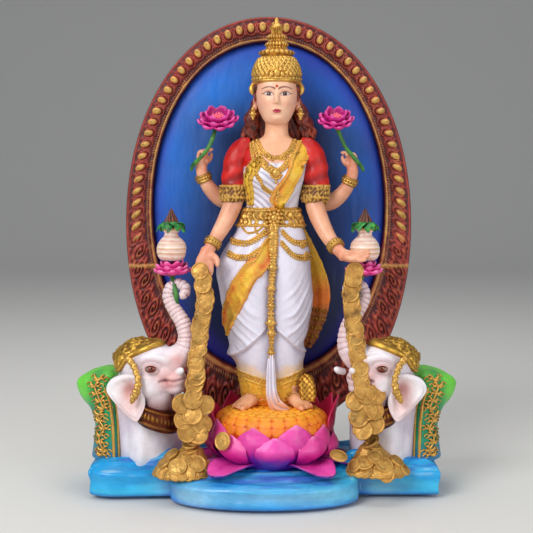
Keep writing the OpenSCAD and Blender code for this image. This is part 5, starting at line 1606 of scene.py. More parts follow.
tail = makePiece("pallu_tail_cast", tailMesh, "clothPaint", c, ["pallu_tail"])
moveVerts(tail, p + normalsOf(tail) * (0.3 * np.abs(np.sin(p[:, 2] * 1.7 + p[:, 0])) * ramp(67, 61, p[:, 2])
                                       + 0.12 * noiseAt(p, 1.0, 7))[:, None])
trim = []
for z in (64.6, 61.4, 58.0, 54.8):
    band = curvePoints([[11, 4, z + 1.6], [16, 3.6, z], [21.5, 4.2, z - 1.0]], 10)
    spots, normals = onSurface(treeOf(tailMesh), band, 0.3, ahead)
    trim.append(copiesAlong(spots, scaled(bead, 0.55, 0.75, 0.5), 1.1, normals=normals))
makePiece("pallu_tassels", mergeMeshes(trim), "goldPaint", "#a8742c", [])

endMesh = hangingCloth([[12.8, -1.0, 41.2, 1.6, 0.7], [14.0, -2.2, 40.0, 2.7, 0.9],
                        [14.6, -3.2, 37.0, 2.9, 0.9], [14.7, -3.8, 34.4, 2.8, 0.9],
                        [14.6, -4.0, 33.2, 2.4, 0.7]], 1.4, 0.35, 90, 10)
p = endMesh[0]
gold, deepGold = colours("#cf9a3a", "#7d4a18")
lace = 0.5 + 0.5 * np.sin(p[:, 0] * 3.6) * np.sin(p[:, 2] * 3.2)
clothEnd = makePiece("cloth_end", endMesh, "goldPaint", mix(deepGold, gold, unit(0.25 + 0.8 * lace)), [])
moveVerts(clothEnd, p + normalsOf(clothEnd) * (0.22 * lace)[:, None])

# lotus flowers: three rings of cupped petals round a seed mound

bloom = dict(petals=((8, 1.0, 0.34, 10), (8, 0.86, 0.62, 30), (6, 0.60, 0.92, 8)))


def bloomPetal(reach, rise, half, rows=20, cols=13):
    u = np.linspace(0, 1, rows)[:, None]
    w = np.linspace(-1, 1, cols)[None, :]
    wide = half * np.sin(math.pi * (0.14 + 0.86 * u) ** 1.15) ** 0.7
    r = reach * (0.12 + 0.88 * np.sin(u * math.pi / 2 * 0.94)) - 0.3 * half * w ** 2 * np.sin(math.pi * u)
    h = rise * (u ** 1.7) + 0.45 * half * (w ** 2) * np.sin(math.pi * u) + 0.10 * reach * ramp(0.8, 1, u)
    points = np.stack([r, w * wide, h + 0 * w], -1)
    n = np.cross(np.gradient(points, axis=1), np.gradient(points, axis=0))
    n = toUnit(n)
    body = 0.11 * half * (1 - 0.7 * w ** 4) + 0.12
    rings = np.concatenate([points + n * body[..., None], (points - n * body[..., None])[:, ::-1]], 1)
    inside = np.concatenate([np.ones((rows, cols)), np.zeros((rows, cols))], 1)
    return closedLoft(rings), np.append(np.repeat(u, cols * 2, 1).ravel(), [0, 1]), np.append(inside.ravel(),
            [1, 1])


def bloomMesh(at, radius, rise, tilt, seed, tones):
    deep, bright, pale, heart, wine = colours(*tones)
    rnd = np.random.default_rng(seed)
    parts, paint = [], []
    for ring, (count, far, high, turn) in enumerate(bloom["petals"]):
        for k in range(count):
            mesh, u, inside = bloomPetal(radius * far * rnd.uniform(0.94, 1.05),
                                         rise * high * rnd.uniform(0.92, 1.1), radius * 0.34)
            v = turned(mesh[0] + (0, 0, 0.25 * ring), (0, 0, 1), turn + 360 * k / count + rnd.uniform(-4, 4))
            n = noiseAt(v, 1.6, 3)
            c = mix(mix(deep, bright, unit(u * 1.1 + 0.25 * n)), pale, ramp(0.82, 1.0, u + 0.08 * n) * 0.6)
            c = mix(c, wine, (1 - inside) * 0.45)
            parts.append((v, mesh[1]))
            paint.append(c)
    mound = ballMesh((0, 0, rise * 0.35), (radius * 0.36, radius * 0.36, rise * 0.36), 26, 14)
    parts.append(mound)
    paint.append(np.broadcast_to(heart, (len(mound[0]), 3)))
    for k in range(14):
        a = k * 2.4
        r = radius * 0.30 * math.sqrt((k + 0.5) / 14)
        seed_ = ballMesh((r * math.cos(a), r * math.sin(a), rise * (0.35 + 0.33)), (radius * 0.07,) * 3, 10,
                         7)
        parts.append(seed_)
        paint.append(np.broadcast_to(pale * 0.4 + heart * 0.6, (len(seed_[0]), 3)))
    under = ballMesh((0, 0, -0.1), (radius * 0.30, radius * 0.30, rise * 0.22), 20, 10)
    parts.append(under)
    paint.append(np.broadcast_to(wine, (len(under[0]), 3)))
    verts, faces = mergeMeshes(parts)
    verts = turned(verts, (1, 0, 0), -tilt) if tilt else verts
    return (verts + at, faces), np.concatenate(paint)


handTones = ("#b01070", "#d9288f", "#f06fc0", "#f0602a", "#861660")


def stemMesh(keys, cols=14):
    rings = limbRings(keys, 10, cols, (0, 1, 0))
    mid = rings.mean(1, keepdims=True)
    return closedLoft(mid + (rings - mid) * (1 + 0.14 * noiseAt(rings, 1.4, 5))[..., None])


handFlowers = {
    "hand_lotus_right": dict(at=(-17.3, 4.0, 131.2), radius=7.2, tilt=-30,
                             stem=[[-17.4, 4.4, 131.6, 0.75, 0.75], [-18.6, 3.0, 127.6, 0.72, 0.72],
                                   [-20.4, 2.0, 123.0, 0.72, 0.72], [-23.4, 2.2, 119.2, 0.7, 0.66],
                                   [-26.0, 3.6, 116.6, 0.75, 0.7], [-27.0, 4.6, 114.6, 0.4, 0.35]]),
    "hand_lotus_left": dict(at=(24.5, 4.0, 131.2), radius=6.4, tilt=-30,
                            stem=[[24.5, 4.4, 131.6, 0.75, 0.75], [26.0, 3.0, 127.4, 0.72, 0.72],
                                  [28.0, 2.0, 122.8, 0.72, 0.72], [31.0, 2.2, 119.2, 0.7, 0.66],
                                  [33.6, 3.6, 116.4, 0.75, 0.7], [34.6, 4.6, 114.4, 0.4, 0.35]]),
}
green, darkGreen = colours("#4a8a38", "#1c5228")
for name, flower in handFlowers.items():
    mesh, paint = bloomMesh(flower["at"], flower["radius"], 4.6, flower["tilt"], 5, handTones)
    stem = stemMesh(flower["stem"])
    stemPaint = mix(green, darkGreen, unit(0.35 + 0.7 * noiseAt(stem[0], 3, 8)))
    makePiece(name + "_bloom", mesh, "petalPaint", paint, [name])
    makePiece(name + "_stem", stem, "greenPaint", stemPaint, [])
print("feet, cloth ends and hand flowers ready")

# elephants: worked out for the right-hand side of the goddess, mirrored for her left

trunkKeys = [[-37.5, -10.5, 47.0, 5.6, 5.6], [-32.6, -12.2, 49.0, 4.9, 4.8], [-28.6, -12.4, 52.6, 3.9, 3.8],
             [-27.6, -11.6, 57.2, 3.1, 3.1], [-29.0, -10.6, 62.0, 2.8, 2.8],
             [-32.0, -9.2, 66.6, 2.5, 2.5], [-34.0, -8.2, 70.6, 2.25, 2.25], [-33.4, -7.4, 74.0, 2.1, 2.1],
             [-30.8, -7.0, 75.2, 2.05, 2.05], [-28.4, -7.8, 74.0, 1.95, 1.95],
             [-28.4, -8.8, 71.8, 1.75, 1.7], [-30.2, -9.6, 71.2, 1.3, 1.2]]
headForms = [  # centre, then half sizes
    ((-43.6, -6.0, 46.6), (8.6, 9.6, 8.4)), ((-47.0, -5.0, 48.4), (5.4, 7.2, 4.6)),
    ((-39.0, -10.2, 49.0), (7.6, 7.8, 6.2)), ((-39.2, -10.2, 41.6), (6.6, 7.4, 8.0)),
    ((-37.6, -9.6, 35.6), (5.4, 6.8, 6.4)),
    ((-32.2, -12.8, 42.8), (4.6, 5.0, 3.8)), ((-31.6, -13.2, 39.6), (3.4, 3.8, 2.2)),
    ((-35.6, -12.6, 45.2), (4.4, 5.2, 4.0))]
earOutline = [(-45.8, 44.8), (-49.6, 44.5), (-53.9, 42.4), (-55.6, 39.0), (-54.1, 36.2), (-51.3, 33.2),
              (-48.0, 30.3), (-44.8, 28.4), (-42.8, 31.0), (-41.8, 33.9), (-41.9, 36.9), (-43.2, 40.2),
              (-44.4, 43.0)]
capEdge = [(-53.5, 43.0), (-51.0, 45.2), (-48.6, 49.0), (-46.0, 51.2), (-41.8, 53.4), (-36.8, 54.9),
           (-30.0, 54.6)]


def mirrored(mesh, side):
    if side < 0:
        return mesh
    return np.asarray(mesh[0]) * (-1, 1, 1), [face[::-1] for face in mesh[1]]


def nearestOn(path, points):  # distance to a sampled path and the place along it
    gaps = np.linalg.norm(points[:, None] - path[None], axis=2)
    k = gaps.argmin(1)
    length = runAlong(path)
    return gaps[np.arange(len(points)), k], length[k], length[-1]


def headMeshAndPaint():
    parts = [ballMesh(c, r, 30, 18) for c, r in headForms]
    parts.append(closedLoft(limbRings(trunkKeys, 8, 26)))
    parts.append(closedLoft(limbRings([[-44.5, -14.2, 48.6, 1.2, 1.0], [-41.8, -16.8, 50.3, 1.4, 1.0],
                                       [-37.5, -17.2, 50.6, 1.4, 1.0], [-33.0, -16.6, 49.4, 1.3, 1.0]], 6, 14,
                                      (0, 1, 0))))
    verts, faces = melt(parts, 0.42, 7)
    path = curvePoints([k[:3] for k in trunkKeys], 14)
    gap, along, whole = nearestOn(path, verts)
    onTrunk = ramp(6.0, 4.6, gap) * ramp(7, 15, along)
    ringWave = np.cos(2 * math.pi * along / 1.55)
    groove = unit(ringWave) ** 3 * onTrunk * ramp(whole, whole - 2, along)
    tree = treeOf((verts, faces))
    x, y, z = verts.T
    facing = ramp(-7, -11, y)
    creasePath = curvePoints([[-36.6, 0, 42.4], [-34.4, 0, 42.9], [-31.5, 0, 42.7], [-28.0, 0, 43.4]], 20)[:,
            [0, 2]]
    crease = np.linalg.norm(verts[:, None, [0, 2]] - creasePath[None], axis=2).min(1)
    mouth = bell(crease, 0, 0.42) * facing
    dimple = bell(np.hypot(x + 34.6, z - 42.7), 0, 0.8) * facing
    eyeGap = np.hypot((x + 39.4) / 2.5, (z - 47.0) / 1.9)
    socket = bell(eyeGap, 0, 1.0) * facing
    fold = bell(eyeGap, 1.35, 0.22) * facing * ramp(44.6, 46.4, z)
    inward = np.zeros_like(verts)
    inward[:, 1] = 0.8 * mouth + 0.9 * dimple + 0.7 * socket + 0.28 * fold
    middle = path[np.linalg.norm(verts[:, None] - path[None], axis=2).argmin(1)]
    toCore = (middle - verts) / (np.linalg.norm(middle - verts, axis=1)[:, None] + 1e-6)
    moved = verts + inward + toCore * (0.34 * groove)[:, None] + 0.06 * noiseAt(verts, 1.2, 3)[:, None]
    white, lilac, pink, rose, jawShade, grooveShade = colours("#efe8ec", "#cbbfcc", "#e3aea8", "#cc7a76",
                                                             "#96635f", "#bd8480")
    n = noiseAt(verts, 5, 12)
    # lilac: random paint tone, plus more towards the back of the head as painted shade
    c = mix(white, lilac, np.clip(0.30 + 0.35 * n + 0.5 * ramp(-40, -52, x), 0, 0.75))
    c = mix(c, pink, np.clip(np.exp(-((x + 33) ** 2 / 22 + (z - 43.5) ** 2 / 16))
                             + 0.7 * np.exp(-((x + 31) ** 2 / 9 + (z - 50) ** 2 / 8)) + 0.45 * onTrunk, 0,
                             0.85) * facing)
    # brownish under the jaw above the collar: painted shade
    c = mix(c, jawShade, ramp(41, 32.5, z) * ramp(-46, -41, x) * 0.85)
    # rose in the mouth corner and round the eye socket: painted shade; the spot on the trunk is pink paint
    c = mix(c, rose, unit(0.55 * bell(np.hypot(x + 33.8, z - 41.6), 0, 2.6) + 0.30 * bell(eyeGap, 1.5, 0.5)
                          + 0.45 * np.exp(-((x + 29.6) ** 2 / 5 + (z - 49.4) ** 2 / 5))) * facing)
    # darker rose in the mouth crease and dimple, and a darker tone in the trunk grooves: painted shade
    c = mix(c, rose * 0.55, np.clip(mouth * 0.75 + dimple * 0.6, 0, 0.9))
    c = mix(c, grooveShade, groove * 0.85)
    return (moved, faces), c, tree


def earMesh():
    outline = np.array(earOutline + earOutline[:3])
    ring = curvePoints(np.column_stack([outline, np.zeros(len(outline))]), 12)
    step = 12
    ring = ring[step:step + step * len(earOutline), :2]
    centre = np.array([-47.2, 37.6])
    steps = np.linspace(0.03, 1, 26)

    def surface(r):
        p = centre + (ring - centre) * r
        x, z = p.T
        y = -16.9 + np.clip(-43 - x, 0, 20) * 0.40 + 0.9 * ramp(-43.5, -41.5, x)
        hollow = 2.3 * np.exp(-((x + 47.0) / 2.7) ** 2 - ((z - 38.6) / 3.6) ** 2) + 1.2 * np.exp(-((x + 45.2)
                / 1.5) ** 2 - ((z - 33.6) / 2.6) ** 2)
        rim = 0.7 * bell(r, 0.80, 0.13) * ramp(-43.5, -47.0, x) + 1.6 * ramp(0.88, 1.0, r)
        return np.stack([x, y + hollow - rim + 1.5 * ramp(0.86, 1.0, r), z], -1)

    front = [surface(r) for r in steps]
    thick = [1.9 - 1.2 * r for r in steps]
    back = [surface(r) + (0, 0.6 + t, 0) for r, t in zip(steps, thick)]
    rings = np.array(front + back[::-1])
    rings += 0.05 * noiseAt(rings, 1.2, 4)[..., None]
    mesh = closedLoft(rings)
    white, pink, rose = colours("#f4eff2", "#dfa9a2", "#b5746f")
    x, y, z = rings[..., 0], rings[..., 1], rings[..., 2]
    inner = np.exp(-((x + 47.0) / 3.4) ** 2 - ((z - 38.4) / 4.2) ** 2)
    lower = ramp(38, 32, z)
    c = mix(white, pink, np.clip(inner * 1.1 + 0.45 * lower, 0, 0.95))
    # rose deep in the hollow of the ear: painted shade; the pink inside the ear is paint
    c = mix(c, rose, unit(np.exp(-((x + 46.4) / 1.9) ** 2 - ((z - 39.2) / 2.8) ** 2) * 0.8))
    return mesh, withEnds(c, rose, white)


def capMesh():
    # the skull forms grown by the thickness of the cap; below its edge the skin dips inside the head
    parts = [ballMesh(c, np.array(r) + 0.9, 30, 18) for c, r in headForms[:3]]
    parts.append(ballMesh((-50.0, -6.0, 49.2), (3.6, 5.0, 3.2), 20, 12))
    verts, faces = melt(parts, 0.40, 3)
    x, y, z = verts.T
    edge = curvePoints([[a, 0, b] for a, b in capEdge], 20)[:, [0, 2]]
    rise = z - np.interp(x, edge[:, 0], edge[:, 1]) - 0.10 * (y + 14)
    keep = ramp(-0.55, 0.0, rise)
    middle = np.array([-43, -6, 46])
    out = verts - middle
    out = toUnit(out)
    curls = np.abs(noiseAt(verts, 1.5, 21, 2))
    scroll = np.sin(x * 2.2 + 2.0 * np.sin(z * 1.7)) * np.sin(z * 2.4 + y)
    relief = (0.42 * bell(curls, 0, 0.22) + 0.22 * scroll) * ramp(1.2, 1.9, rise)
    cord = 0.6 * bell(rise, 0.6, 0.42)
    crest = 0.35 * ramp(1.0, 2.4, rise)
    verts = verts + out * ((cord + crest + relief) * keep - 2.6 * (1 - keep))[:, None]
    gold, deep = colours("#dcae48", "#96682a")
    return (verts, faces), mix(deep, gold, unit(0.35 + (relief + cord) * 1.6))


blanket = dict(keys=[[-56.4, 6.4, 12.0, 6.8, 13.2], [-56.1, 6.4, 18, 6.4, 13.2], [-56.2, 6.4, 23, 5.9, 13.1],
                     [-57.4, 6.3, 29, 6.0, 13.0], [-59.4, 6.3, 33, 7.3, 12.8],
                     [-60.6, 6.3, 37, 7.9, 12.4], [-60.5, 6.3, 39.6, 7.3, 11.8],
                     [-59.0, 6.4, 41.8, 5.6, 10.6], [-57.6, 6.4, 43.2, 2.6, 7.6]])


def blanketMesh():
    rings = levelRings(blanket["keys"], 14, 240, 2.5)
    x, y, z = rings[..., 0], rings[..., 1], rings[..., 2]
    a = roundAngles(rings.shape[1])[None, :]
    slant = 0.42 * np.clip(-55 - x, 0, 20) * unit(np.cos(a))
    rings = rings + np.stack([0 * x, slant, 0 * x], -1)
    folds = 0.30 * noiseAt(rings, 5, 4)
    out = outwardFrom(a, x)
    rings = rings + out * folds[..., None]
    mesh = closedLoft(rings)
    lime, green, teal, deep, blue = colours("#6fce45", "#27a347", "#0f8f62", "#0b6a54", "#1279a8")
    c = mix(green, lime, unit(ramp(-60, -66, x) + ramp(38.5, 42.5, z) * 0.8))
    c = mix(c, teal, ramp(36, 26, z + 1.5 * noiseAt(rings, 4, 6)))
    c = mix(c, deep, bell(x, -60.4, 2.4) * 0.45 * (y < 2))
    c = mix(c, blue, ramp(21, 13, z + 1.0 * noiseAt(rings, 3, 8)))
    return mesh, withEnds(c, blue, lime)


def leafAt(tree, at, turn, long, wide, high=0.55, look=ahead):
    # small pointed leaf lying on the surface, its stalk end at the given place
    spot, normal = onSurface(tree, [at], 0.05, look)
    spot, normal = spot[0], normal[0]
    upward = np.array([0, 0, 1.0]) - normal * normal[2]
    upward /= np.linalg.norm(upward)
    side = np.cross(upward, normal)
    t = math.radians(turn)
    along = upward * math.cos(t) + side * math.sin(t)
    across = np.cross(normal, along)
    u = np.linspace(0, 1, 9)
    keys = np.column_stack([spot + np.outer(u * long, along)
                            + np.outer(0.22 * long * np.sin(u * math.pi) , across)
                            + np.outer(0.25 * np.sin(u * math.pi), normal),
                            wide * np.sin(math.pi * (0.15 + 0.85 * u)) ** 0.8 + 0.05,
                            high * np.sin(math.pi * (0.2 + 0.75 * u)) ** 0.8 + 0.05])
    return closedLoft(limbRings(keys, 2, 10, normal))


def vineMesh(tree):
    parts = []
    path = curvePoints([[-58.4, -9, 41.6], [-60.6, -9, 38.4], [-59.2, -9, 34.6], [-57.6, -9, 31.0],
                        [-59.4, -9, 27.4], [-57.4, -9, 23.6], [-59.2, -9, 19.8], [-57.8, -9, 16.0],
                        [-58.6, -9, 13.6]], 12)
    spots, _ = onSurface(tree, path, 0.25, ahead)
    parts.append(closedLoft(limbRings(np.column_stack([spots, np.full(len(spots), 0.42),
                                                       np.full(len(spots), 0.45)]), 2, 10, (0, 1, 0))))
    rnd = np.random.default_rng(8)
    for k in range(4, len(path) - 3, 8):
        for side in (-1, 1):
            base = path[k] + (side * 0.3, 0, 0)
            for turn, long in ((48, 2.4), (96, 1.8)):
                parts.append(leafAt(tree, base, side * (turn + rnd.uniform(-12, 12)),
                                    long * rnd.uniform(0.85, 1.15), 0.42))
            curl = base + (side * 1.9, 0, rnd.uniform(-0.6, 0.6))
            t = np.linspace(0, 1.7 * math.pi, 16)
            r = 0.95 * (1 - 0.45 * t / t[-1])
            loop = curl + np.stack([side * r * np.cos(t), 0 * t, r * np.sin(t)], -1)
            on, _ = onSurface(tree, loop, 0.15, ahead)
            parts.append(closedLoft(limbRings(np.column_stack([on, np.full(16, 0.27), np.full(16, 0.36)]), 2,
                                              8, (0, 1, 0))))
    for k, x0 in enumerate((-54.6, -53.0, -51.6)):  # gold cords down the front edge
        line = curvePoints([[x0 - 2.6 + 0.2 * k, -9, 38.0 - 1.6 * k], [x0 - 0.8, -9, 33], [x0 + 0.2, -9, 26],
                            [x0 + 0.5, -9, 19], [x0 + 0.6, -9, 12.6]], 12)
        on, _ = onSurface(tree, line, 0.12, ahead)
        w = 0.55 if k != 1 else 0.38
        parts.append(closedLoft(limbRings(np.column_stack([on, np.full(len(on), w), np.full(len(on), 0.5)]),
                                          2, 10, (0, 1, 0))))
    return mergeMeshes(parts)


def bodyMesh():
    rings = levelRings([[-42.2, 3.6, 11.4, 11.6, 13.4], [-42.2, 3.6, 18, 12.0, 13.4],
                        [-42.6, 3.8, 25, 12.4, 13.0], [-43.4, 4.4, 31, 12.4, 12.4],
                        [-44.4, 5.2, 37, 11.4, 11.4], [-45.0, 6.0, 41.4, 8.6, 9.0],
                        [-45.4, 6.0, 43.6, 4.6, 5.0]], 10, 200, 2.25)
    x, z = rings[..., 0], rings[..., 2]
    a = roundAngles(rings.shape[1])[None, :]
    front = unit(np.cos(a))
    chest = (1.4 * bell(x + 44.6, 0.12 * (z - 12), 2.6) - 0.9 * bell(x, -49.4, 1.6)) * front * ramp(34, 22, z)
    out = outwardFrom(a, x)
    rings = rings + out * (chest + 0.12 * noiseAt(rings, 4, 3))[..., None]
    mesh = closedLoft(rings)
    white, lilac, pink, aqua = colours("#f0ebf1", "#c3b9cb", "#ddb4b2", "#9fc4e0")
    # lilac: random paint tone, plus more on the outer side behind the ear as painted shade
    c = mix(white, lilac, np.clip(0.2 + 0.5 * noiseAt(rings, 6, 5) + 0.55 * ramp(-46.5, -51.5, x), 0, 0.8))
    c = mix(c, pink, ramp(24, 32, z) * 0.4)
    c = mix(c, aqua, ramp(15.5, 12, z) * 0.5)
    return mesh, withEnds(c, white, white)


def collarMesh():
    rings = levelRings([[-38.4, -7.0, 25.0, 7.2, 9.6], [-38.4, -7.0, 26.4, 7.9, 10.2],
                        [-38.2, -7.2, 29.0, 7.6, 10.2], [-38.0, -7.4, 31.8, 7.0, 9.8],
                        [-37.9, -7.4, 32.6, 6.2, 9.0]], 8, 300, 2.15)
    x, z = rings[..., 0], rings[..., 2]
    a = roundAngles(300)[None, :]
    drums = np.abs(np.sin(a * 17)) ** 0.6
    rows = 0.5 * bell(z, 26.5, 0.5) * (0.6 + 0.4 * np.abs(np.sin(a * 34))) + 0.55 * bell(z, 29.2,
            1.1) * drums + 0.45 * bell(z, 31.8, 0.5) * (0.6 + 0.4 * np.abs(np.sin(a * 34)))
    out = outwardFrom(a, x)
    rings = rings + out * (rows - 0.2)[..., None]
    rings[..., 2] += -0.30 * (rings[..., 0] + 38.0)
    mesh = closedLoft(rings)
    dark, brown, gold = colours("#3b0e06", "#6e2c0e", "#cf9434")
    c = mix(dark, brown, unit(0.5 + 0.5 * noiseAt(rings, 2, 4)))
    c = mix(c, gold, unit((rows - 0.18) * 2.0) * (0.5 + 0.5 * ramp(-36, -41, x))
            * unit(0.8 + 0.6 * noiseAt(rings, 0.9, 6)))
    return mesh, withEnds(c, dark, dark)


def strapMesh():
    keys = [[-50.6, -9.0, 50.6, 1.0, 0.9], [-47.9, -14.4, 50.2, 1.05, 0.8], [-45.7, -16.6, 48.2, 1.05, 0.8],
            [-44.6, -17.6, 46.0, 1.0, 0.8], [-43.7, -18.6, 43.1, 1.05, 0.8],
            [-44.1, -18.9, 39.9, 1.25, 0.9], [-45.3, -18.2, 37.2, 1.15, 0.9], [-46.3, -17.2, 35.2, 0.5, 0.5]]
    rings = limbRings(keys, 14, 24, (0, 1, 0))
    mid = rings.mean(1, keepdims=True)
    s = np.arange(len(rings))[:, None, None] * 0.19
    a = roundAngles(24)[None, :, None]
    rings = mid + (rings - mid) * (1 + 0.16 * np.cos(s * 3.2 + a * 2) + 0.12 * np.cos(s * 6.4))
    return closedLoft(rings)


def potMesh(at):
    profile = curvePoints(np.array([[0.6, 83.2], [3.4, 83.4], [4.6, 84.6], [5.1, 86.6], [5.0, 88.4],
                                    [4.3, 90.0], [3.2, 91.2], [2.5, 92.0], [2.35, 92.8], [2.8, 93.6],
                                    [3.4, 94.2], [3.2, 94.8], [1.6, 94.8], [0.5, 94.6]]), 8)
    a = roundAngles(96)[None, :]
    z = profile[:, 1:]
    bands = 0.16 * bell(z, 86.0, 0.22) + 0.16 * bell(z, 87.6, 0.22) + 0.14 * bell(z, 89.2, 0.2)
    r = profile[:, :1] + bands + 0.05 * np.cos(a * 3 + z)
    rings = np.stack([at[0] + r * np.sin(a), at[1] - r * np.cos(a), z + 0 * a], -1)
    cream, rosy, gold = colours("#f4e3d6", "#e3a596", "#c9933c")
    stripe = 0.5 + 0.5 * np.sin(z * 4.2 + 0.4 * np.sin(a * 2))
    c = mix(cream, rosy, np.clip(stripe * 0.65 + 0.35 * noiseAt(rings, 2.2, 5), 0, 0.9))
    c = mix(c, gold, np.clip(bands * 5 + ramp(93.4, 94.0, z) * 0.8 + 0 * a, 0, 0.85))
    return closedLoft(rings), withEnds(c, cream, cream)


def leavesMesh(at):
    parts, rnd = [], np.random.default_rng(11)
    for k in range(11):
        long, turn = rnd.uniform(4.0, 5.2), 360 * k / 11 + rnd.uniform(-10, 10)
        u = np.linspace(0, 1, 12)
        keys = np.column_stack([0.6 + long * u, 0.25 * np.sin(u * 9),
                                95.0 + 1.9 * np.sin(u * 2.3) - 3.2 * u * u + 0.5 * (k % 2),
                                1.65 * np.sin(math.pi * (0.1 + 0.86 * u)) ** 0.8 + 0.05,
                                0.28 * np.sin(math.pi * (0.2 + 0.75 * u)) + 0.06])
        v, f = closedLoft(limbRings(keys, 2, 12, (0, 0, 1)))
        parts.append((turned(v, (0, 0, 1), turn) + (at[0], at[1], 0), f))
    mesh = mergeMeshes(parts)
    green, light, dark = colours("#1f7a33", "#58b548", "#0a3d1c")
    n = noiseAt(mesh[0], 1.6, 6)
    return mesh, mix(mix(green, light, ramp(0.1, 0.9, n)), dark, ramp(0.0, 0.8, -n))


def coconutMesh(at):
    profile = curvePoints(np.array([[0.3, 94.8], [1.9, 95.2], [2.3, 96.4], [1.9, 97.8], [1.2, 99.2],
                                    [0.7, 100.4], [0.15, 101.4]]), 9)
    a = roundAngles(60)[None, :]
    r = profile[:, :1] * (1 + 0.13 * np.cos(a * 9 + profile[:, 1:] * 0.8))
    rings = np.stack([at[0] + r * np.sin(a), at[1] - r * np.cos(a), profile[:, 1:] + 0 * a], -1)
    brown, dark = colours("#7a3d22", "#25100a")
    c = mix(dark, brown, unit(0.5 + 0.5 * np.cos(a * 9 + profile[:, 1:] * 0.8) + 0.4 * noiseAt(rings, 1, 3)))
    return closedLoft(rings), withEnds(c, dark, brown)


def makeElephant(side):
    who = "right" if side < 0 else "left"

    def put(name, mesh, material, paint, nodes=()):
        return makePiece(name + "_" + who, mirrored(mesh, side), material, paint,
                         [n + "_" + who for n in nodes])

    body, paint = elephantForms["body"]
    put("elephant_body_cast", body, "whitePaint", paint, ["elephant_body"])
    head, paint, tree = elephantForms["head"]
    put("elephant_head_cast", head, "whitePaint", paint, ["elephant_head", "trunk"])
    ear, paint = elephantForms["ear"]
    farEar = turned((ear[0] - (-47, -15, 37)) * (0.82, 1, 0.86), (0, 0, 1), 128) + (-37.0, 1.2, 38.0)
    put("elephant_ears_cast", mergeMeshes([ear, (farEar, ear[1])]), "whitePaint",
        np.concatenate([paint, paint]), ["elephant_ears"])
    cap, paint = elephantForms["cap"]
    put("headdress_cast", cap, "goldPaint", paint, ["headdress"])
    put("headdress_strap", strapMesh(), "goldPaint", goldTone, [])
    collar, paint = elephantForms["collar"]
    put("collar_cast", collar, "goldPaint", paint, ["collar"])
    cloth, paint = elephantForms["blanket"]
    put("saddle_cloth_cast", cloth, "greenPaint", paint, ["saddle_cloth"])
    put("saddle_cloth_vine", elephantForms["vine"], "goldPaint", goldTone, [])
    # eye: glossy ball, iris and pupil painted on, a painted highlight, with rolled lids
    spot, _ = onSurface(tree, [[-39.4, -20, 47.0]], 0.0, ahead)
    ball = ballMesh(spot[0] + (0, 0.95, 0), (1.9, 1.5, 1.35), 40, 26)
    p = ball[0]
    r = np.hypot(p[:, 0] + 39.25, p[:, 2] - 47.05)
    white, iris, pupil = colours("#c9aca4", "#96381a", "#0a0403")
    c = mix(white, iris, ramp(1.12, 1.0, r))
    c = mix(c, pupil, np.maximum(ramp(0.5, 0.4, r), bell(r, 1.12, 0.12) * 0.7))
    # small pale spot on the eye: painted highlight
    c = mix(c, white, ramp(0.20, 0.14, np.hypot(p[:, 0] + 39.65, p[:, 2] - 47.45)))
    put("elephant_eye", ball, "glossPaint", c, [])
    lids = []
    for sign, high in ((1, 1.35), (-1, 1.15)):
        t = np.linspace(0, math.pi, 16)
        lid = spot[0] + np.stack([-2.15 * np.cos(t), -0.25 - 0.35 * np.sin(t), sign * high * np.sin(t)], -1)
        lids.append(closedLoft(limbRings(np.column_stack([lid, 0.30 + 0.10 * np.sin(t),
                                                          0.34 + 0.05 * np.sin(t)]), 3, 12, (0, 1, 0))))
    lidMesh = mergeMeshes(lids)
    pinkLid, darkLid = colours("#d9a9a4", "#4a1c18")
    near = np.hypot((lidMesh[0][:, 0] + 39.4) / 2.0, (lidMesh[0][:, 2] - spot[0][2]) / 1.25)
    put("elephant_eyelids", lidMesh, "whitePaint", mix(darkLid, pinkLid, ramp(0.92, 1.05, near)), [])
    tusks = mergeMeshes([closedLoft(limbRings([[-31.5, -12.5, 45.4, 1.2, 1.2], [-30.0, -15.6, 45.8, 1.3, 1.3],
                                               [-29.2, -17.4, 46.4, 1.15, 1.15],
                                               [-28.8, -18.4, 46.9, 0.6, 0.6],
                                               [-28.7, -18.8, 47.1, 0.15, 0.15]], 6, 18, (0, 0, 1))),
                         closedLoft(limbRings([[-27.0, -9.0, 44.6, 1.2, 1.2],
                                               [-25.2, -10.4, 45.2, 1.25, 1.25],
                                               [-24.2, -11.4, 45.9, 1.0, 1.0],
                                               [-23.8, -11.9, 46.3, 0.4, 0.4]], 6, 18, (0, 0, 1)))])
    put("tusks_cast", tusks, "glossPaint", "#f3eff2", ["tusk"])
    at = (-33.1 - 1.2 * (side > 0), -6.2)
    flower, paint = bloomMesh((at[0], at[1], 78.6), 6.5, 4.4, -4, 9,
                              ("#c8186f", "#ea3f96", "#fb9fcf", "#ef5a9c", "#9c1458"))
    put("trunk_lotus_bloom", flower, "petalPaint", paint, ["trunk_lotus"])
    stem = stemMesh([[at[0], at[1], 79.6, 0.9, 0.9], [-32.6, -7.6, 76.4, 0.85, 0.85],
                     [-31.4, -9.4, 72.6, 0.85, 0.85], [-31.2, -9.6, 68.8, 0.8, 0.8],
                     [-31.6, -9.4, 66.6, 0.4, 0.4]])
    put("trunk_lotus_stem", stem, "greenPaint", mix(green, darkGreen,
                                                    unit(0.3 + 0.7 * noiseAt(stem[0], 3, 8))), [])
    pot, paint = potMesh(at)
    put("kalash_cast", pot, "whitePaint", paint, ["kalash"])
    leaves, paint = leavesMesh(at)
    put("kalash_leaves", leaves, "greenPaint", paint, ["coconut"])
    nut, paint = coconutMesh(at)
    put("coconut_cast", nut, "hairPaint", paint, [])


clothForm = blanketMesh()
elephantForms = {"body": bodyMesh(), "head": headMeshAndPaint(), "ear": earMesh(), "cap": capMesh(),
                 "collar": collarMesh(), "blanket": clothForm, "vine": vineMesh(treeOf(clothForm[0]))}
makeElephant(-1)
makeElephant(1)
print("elephants ready")

# coins

coinage = dict(streamGap=2.3, seed=11)
coinRandom = np.random.default_rng(coinage["seed"])


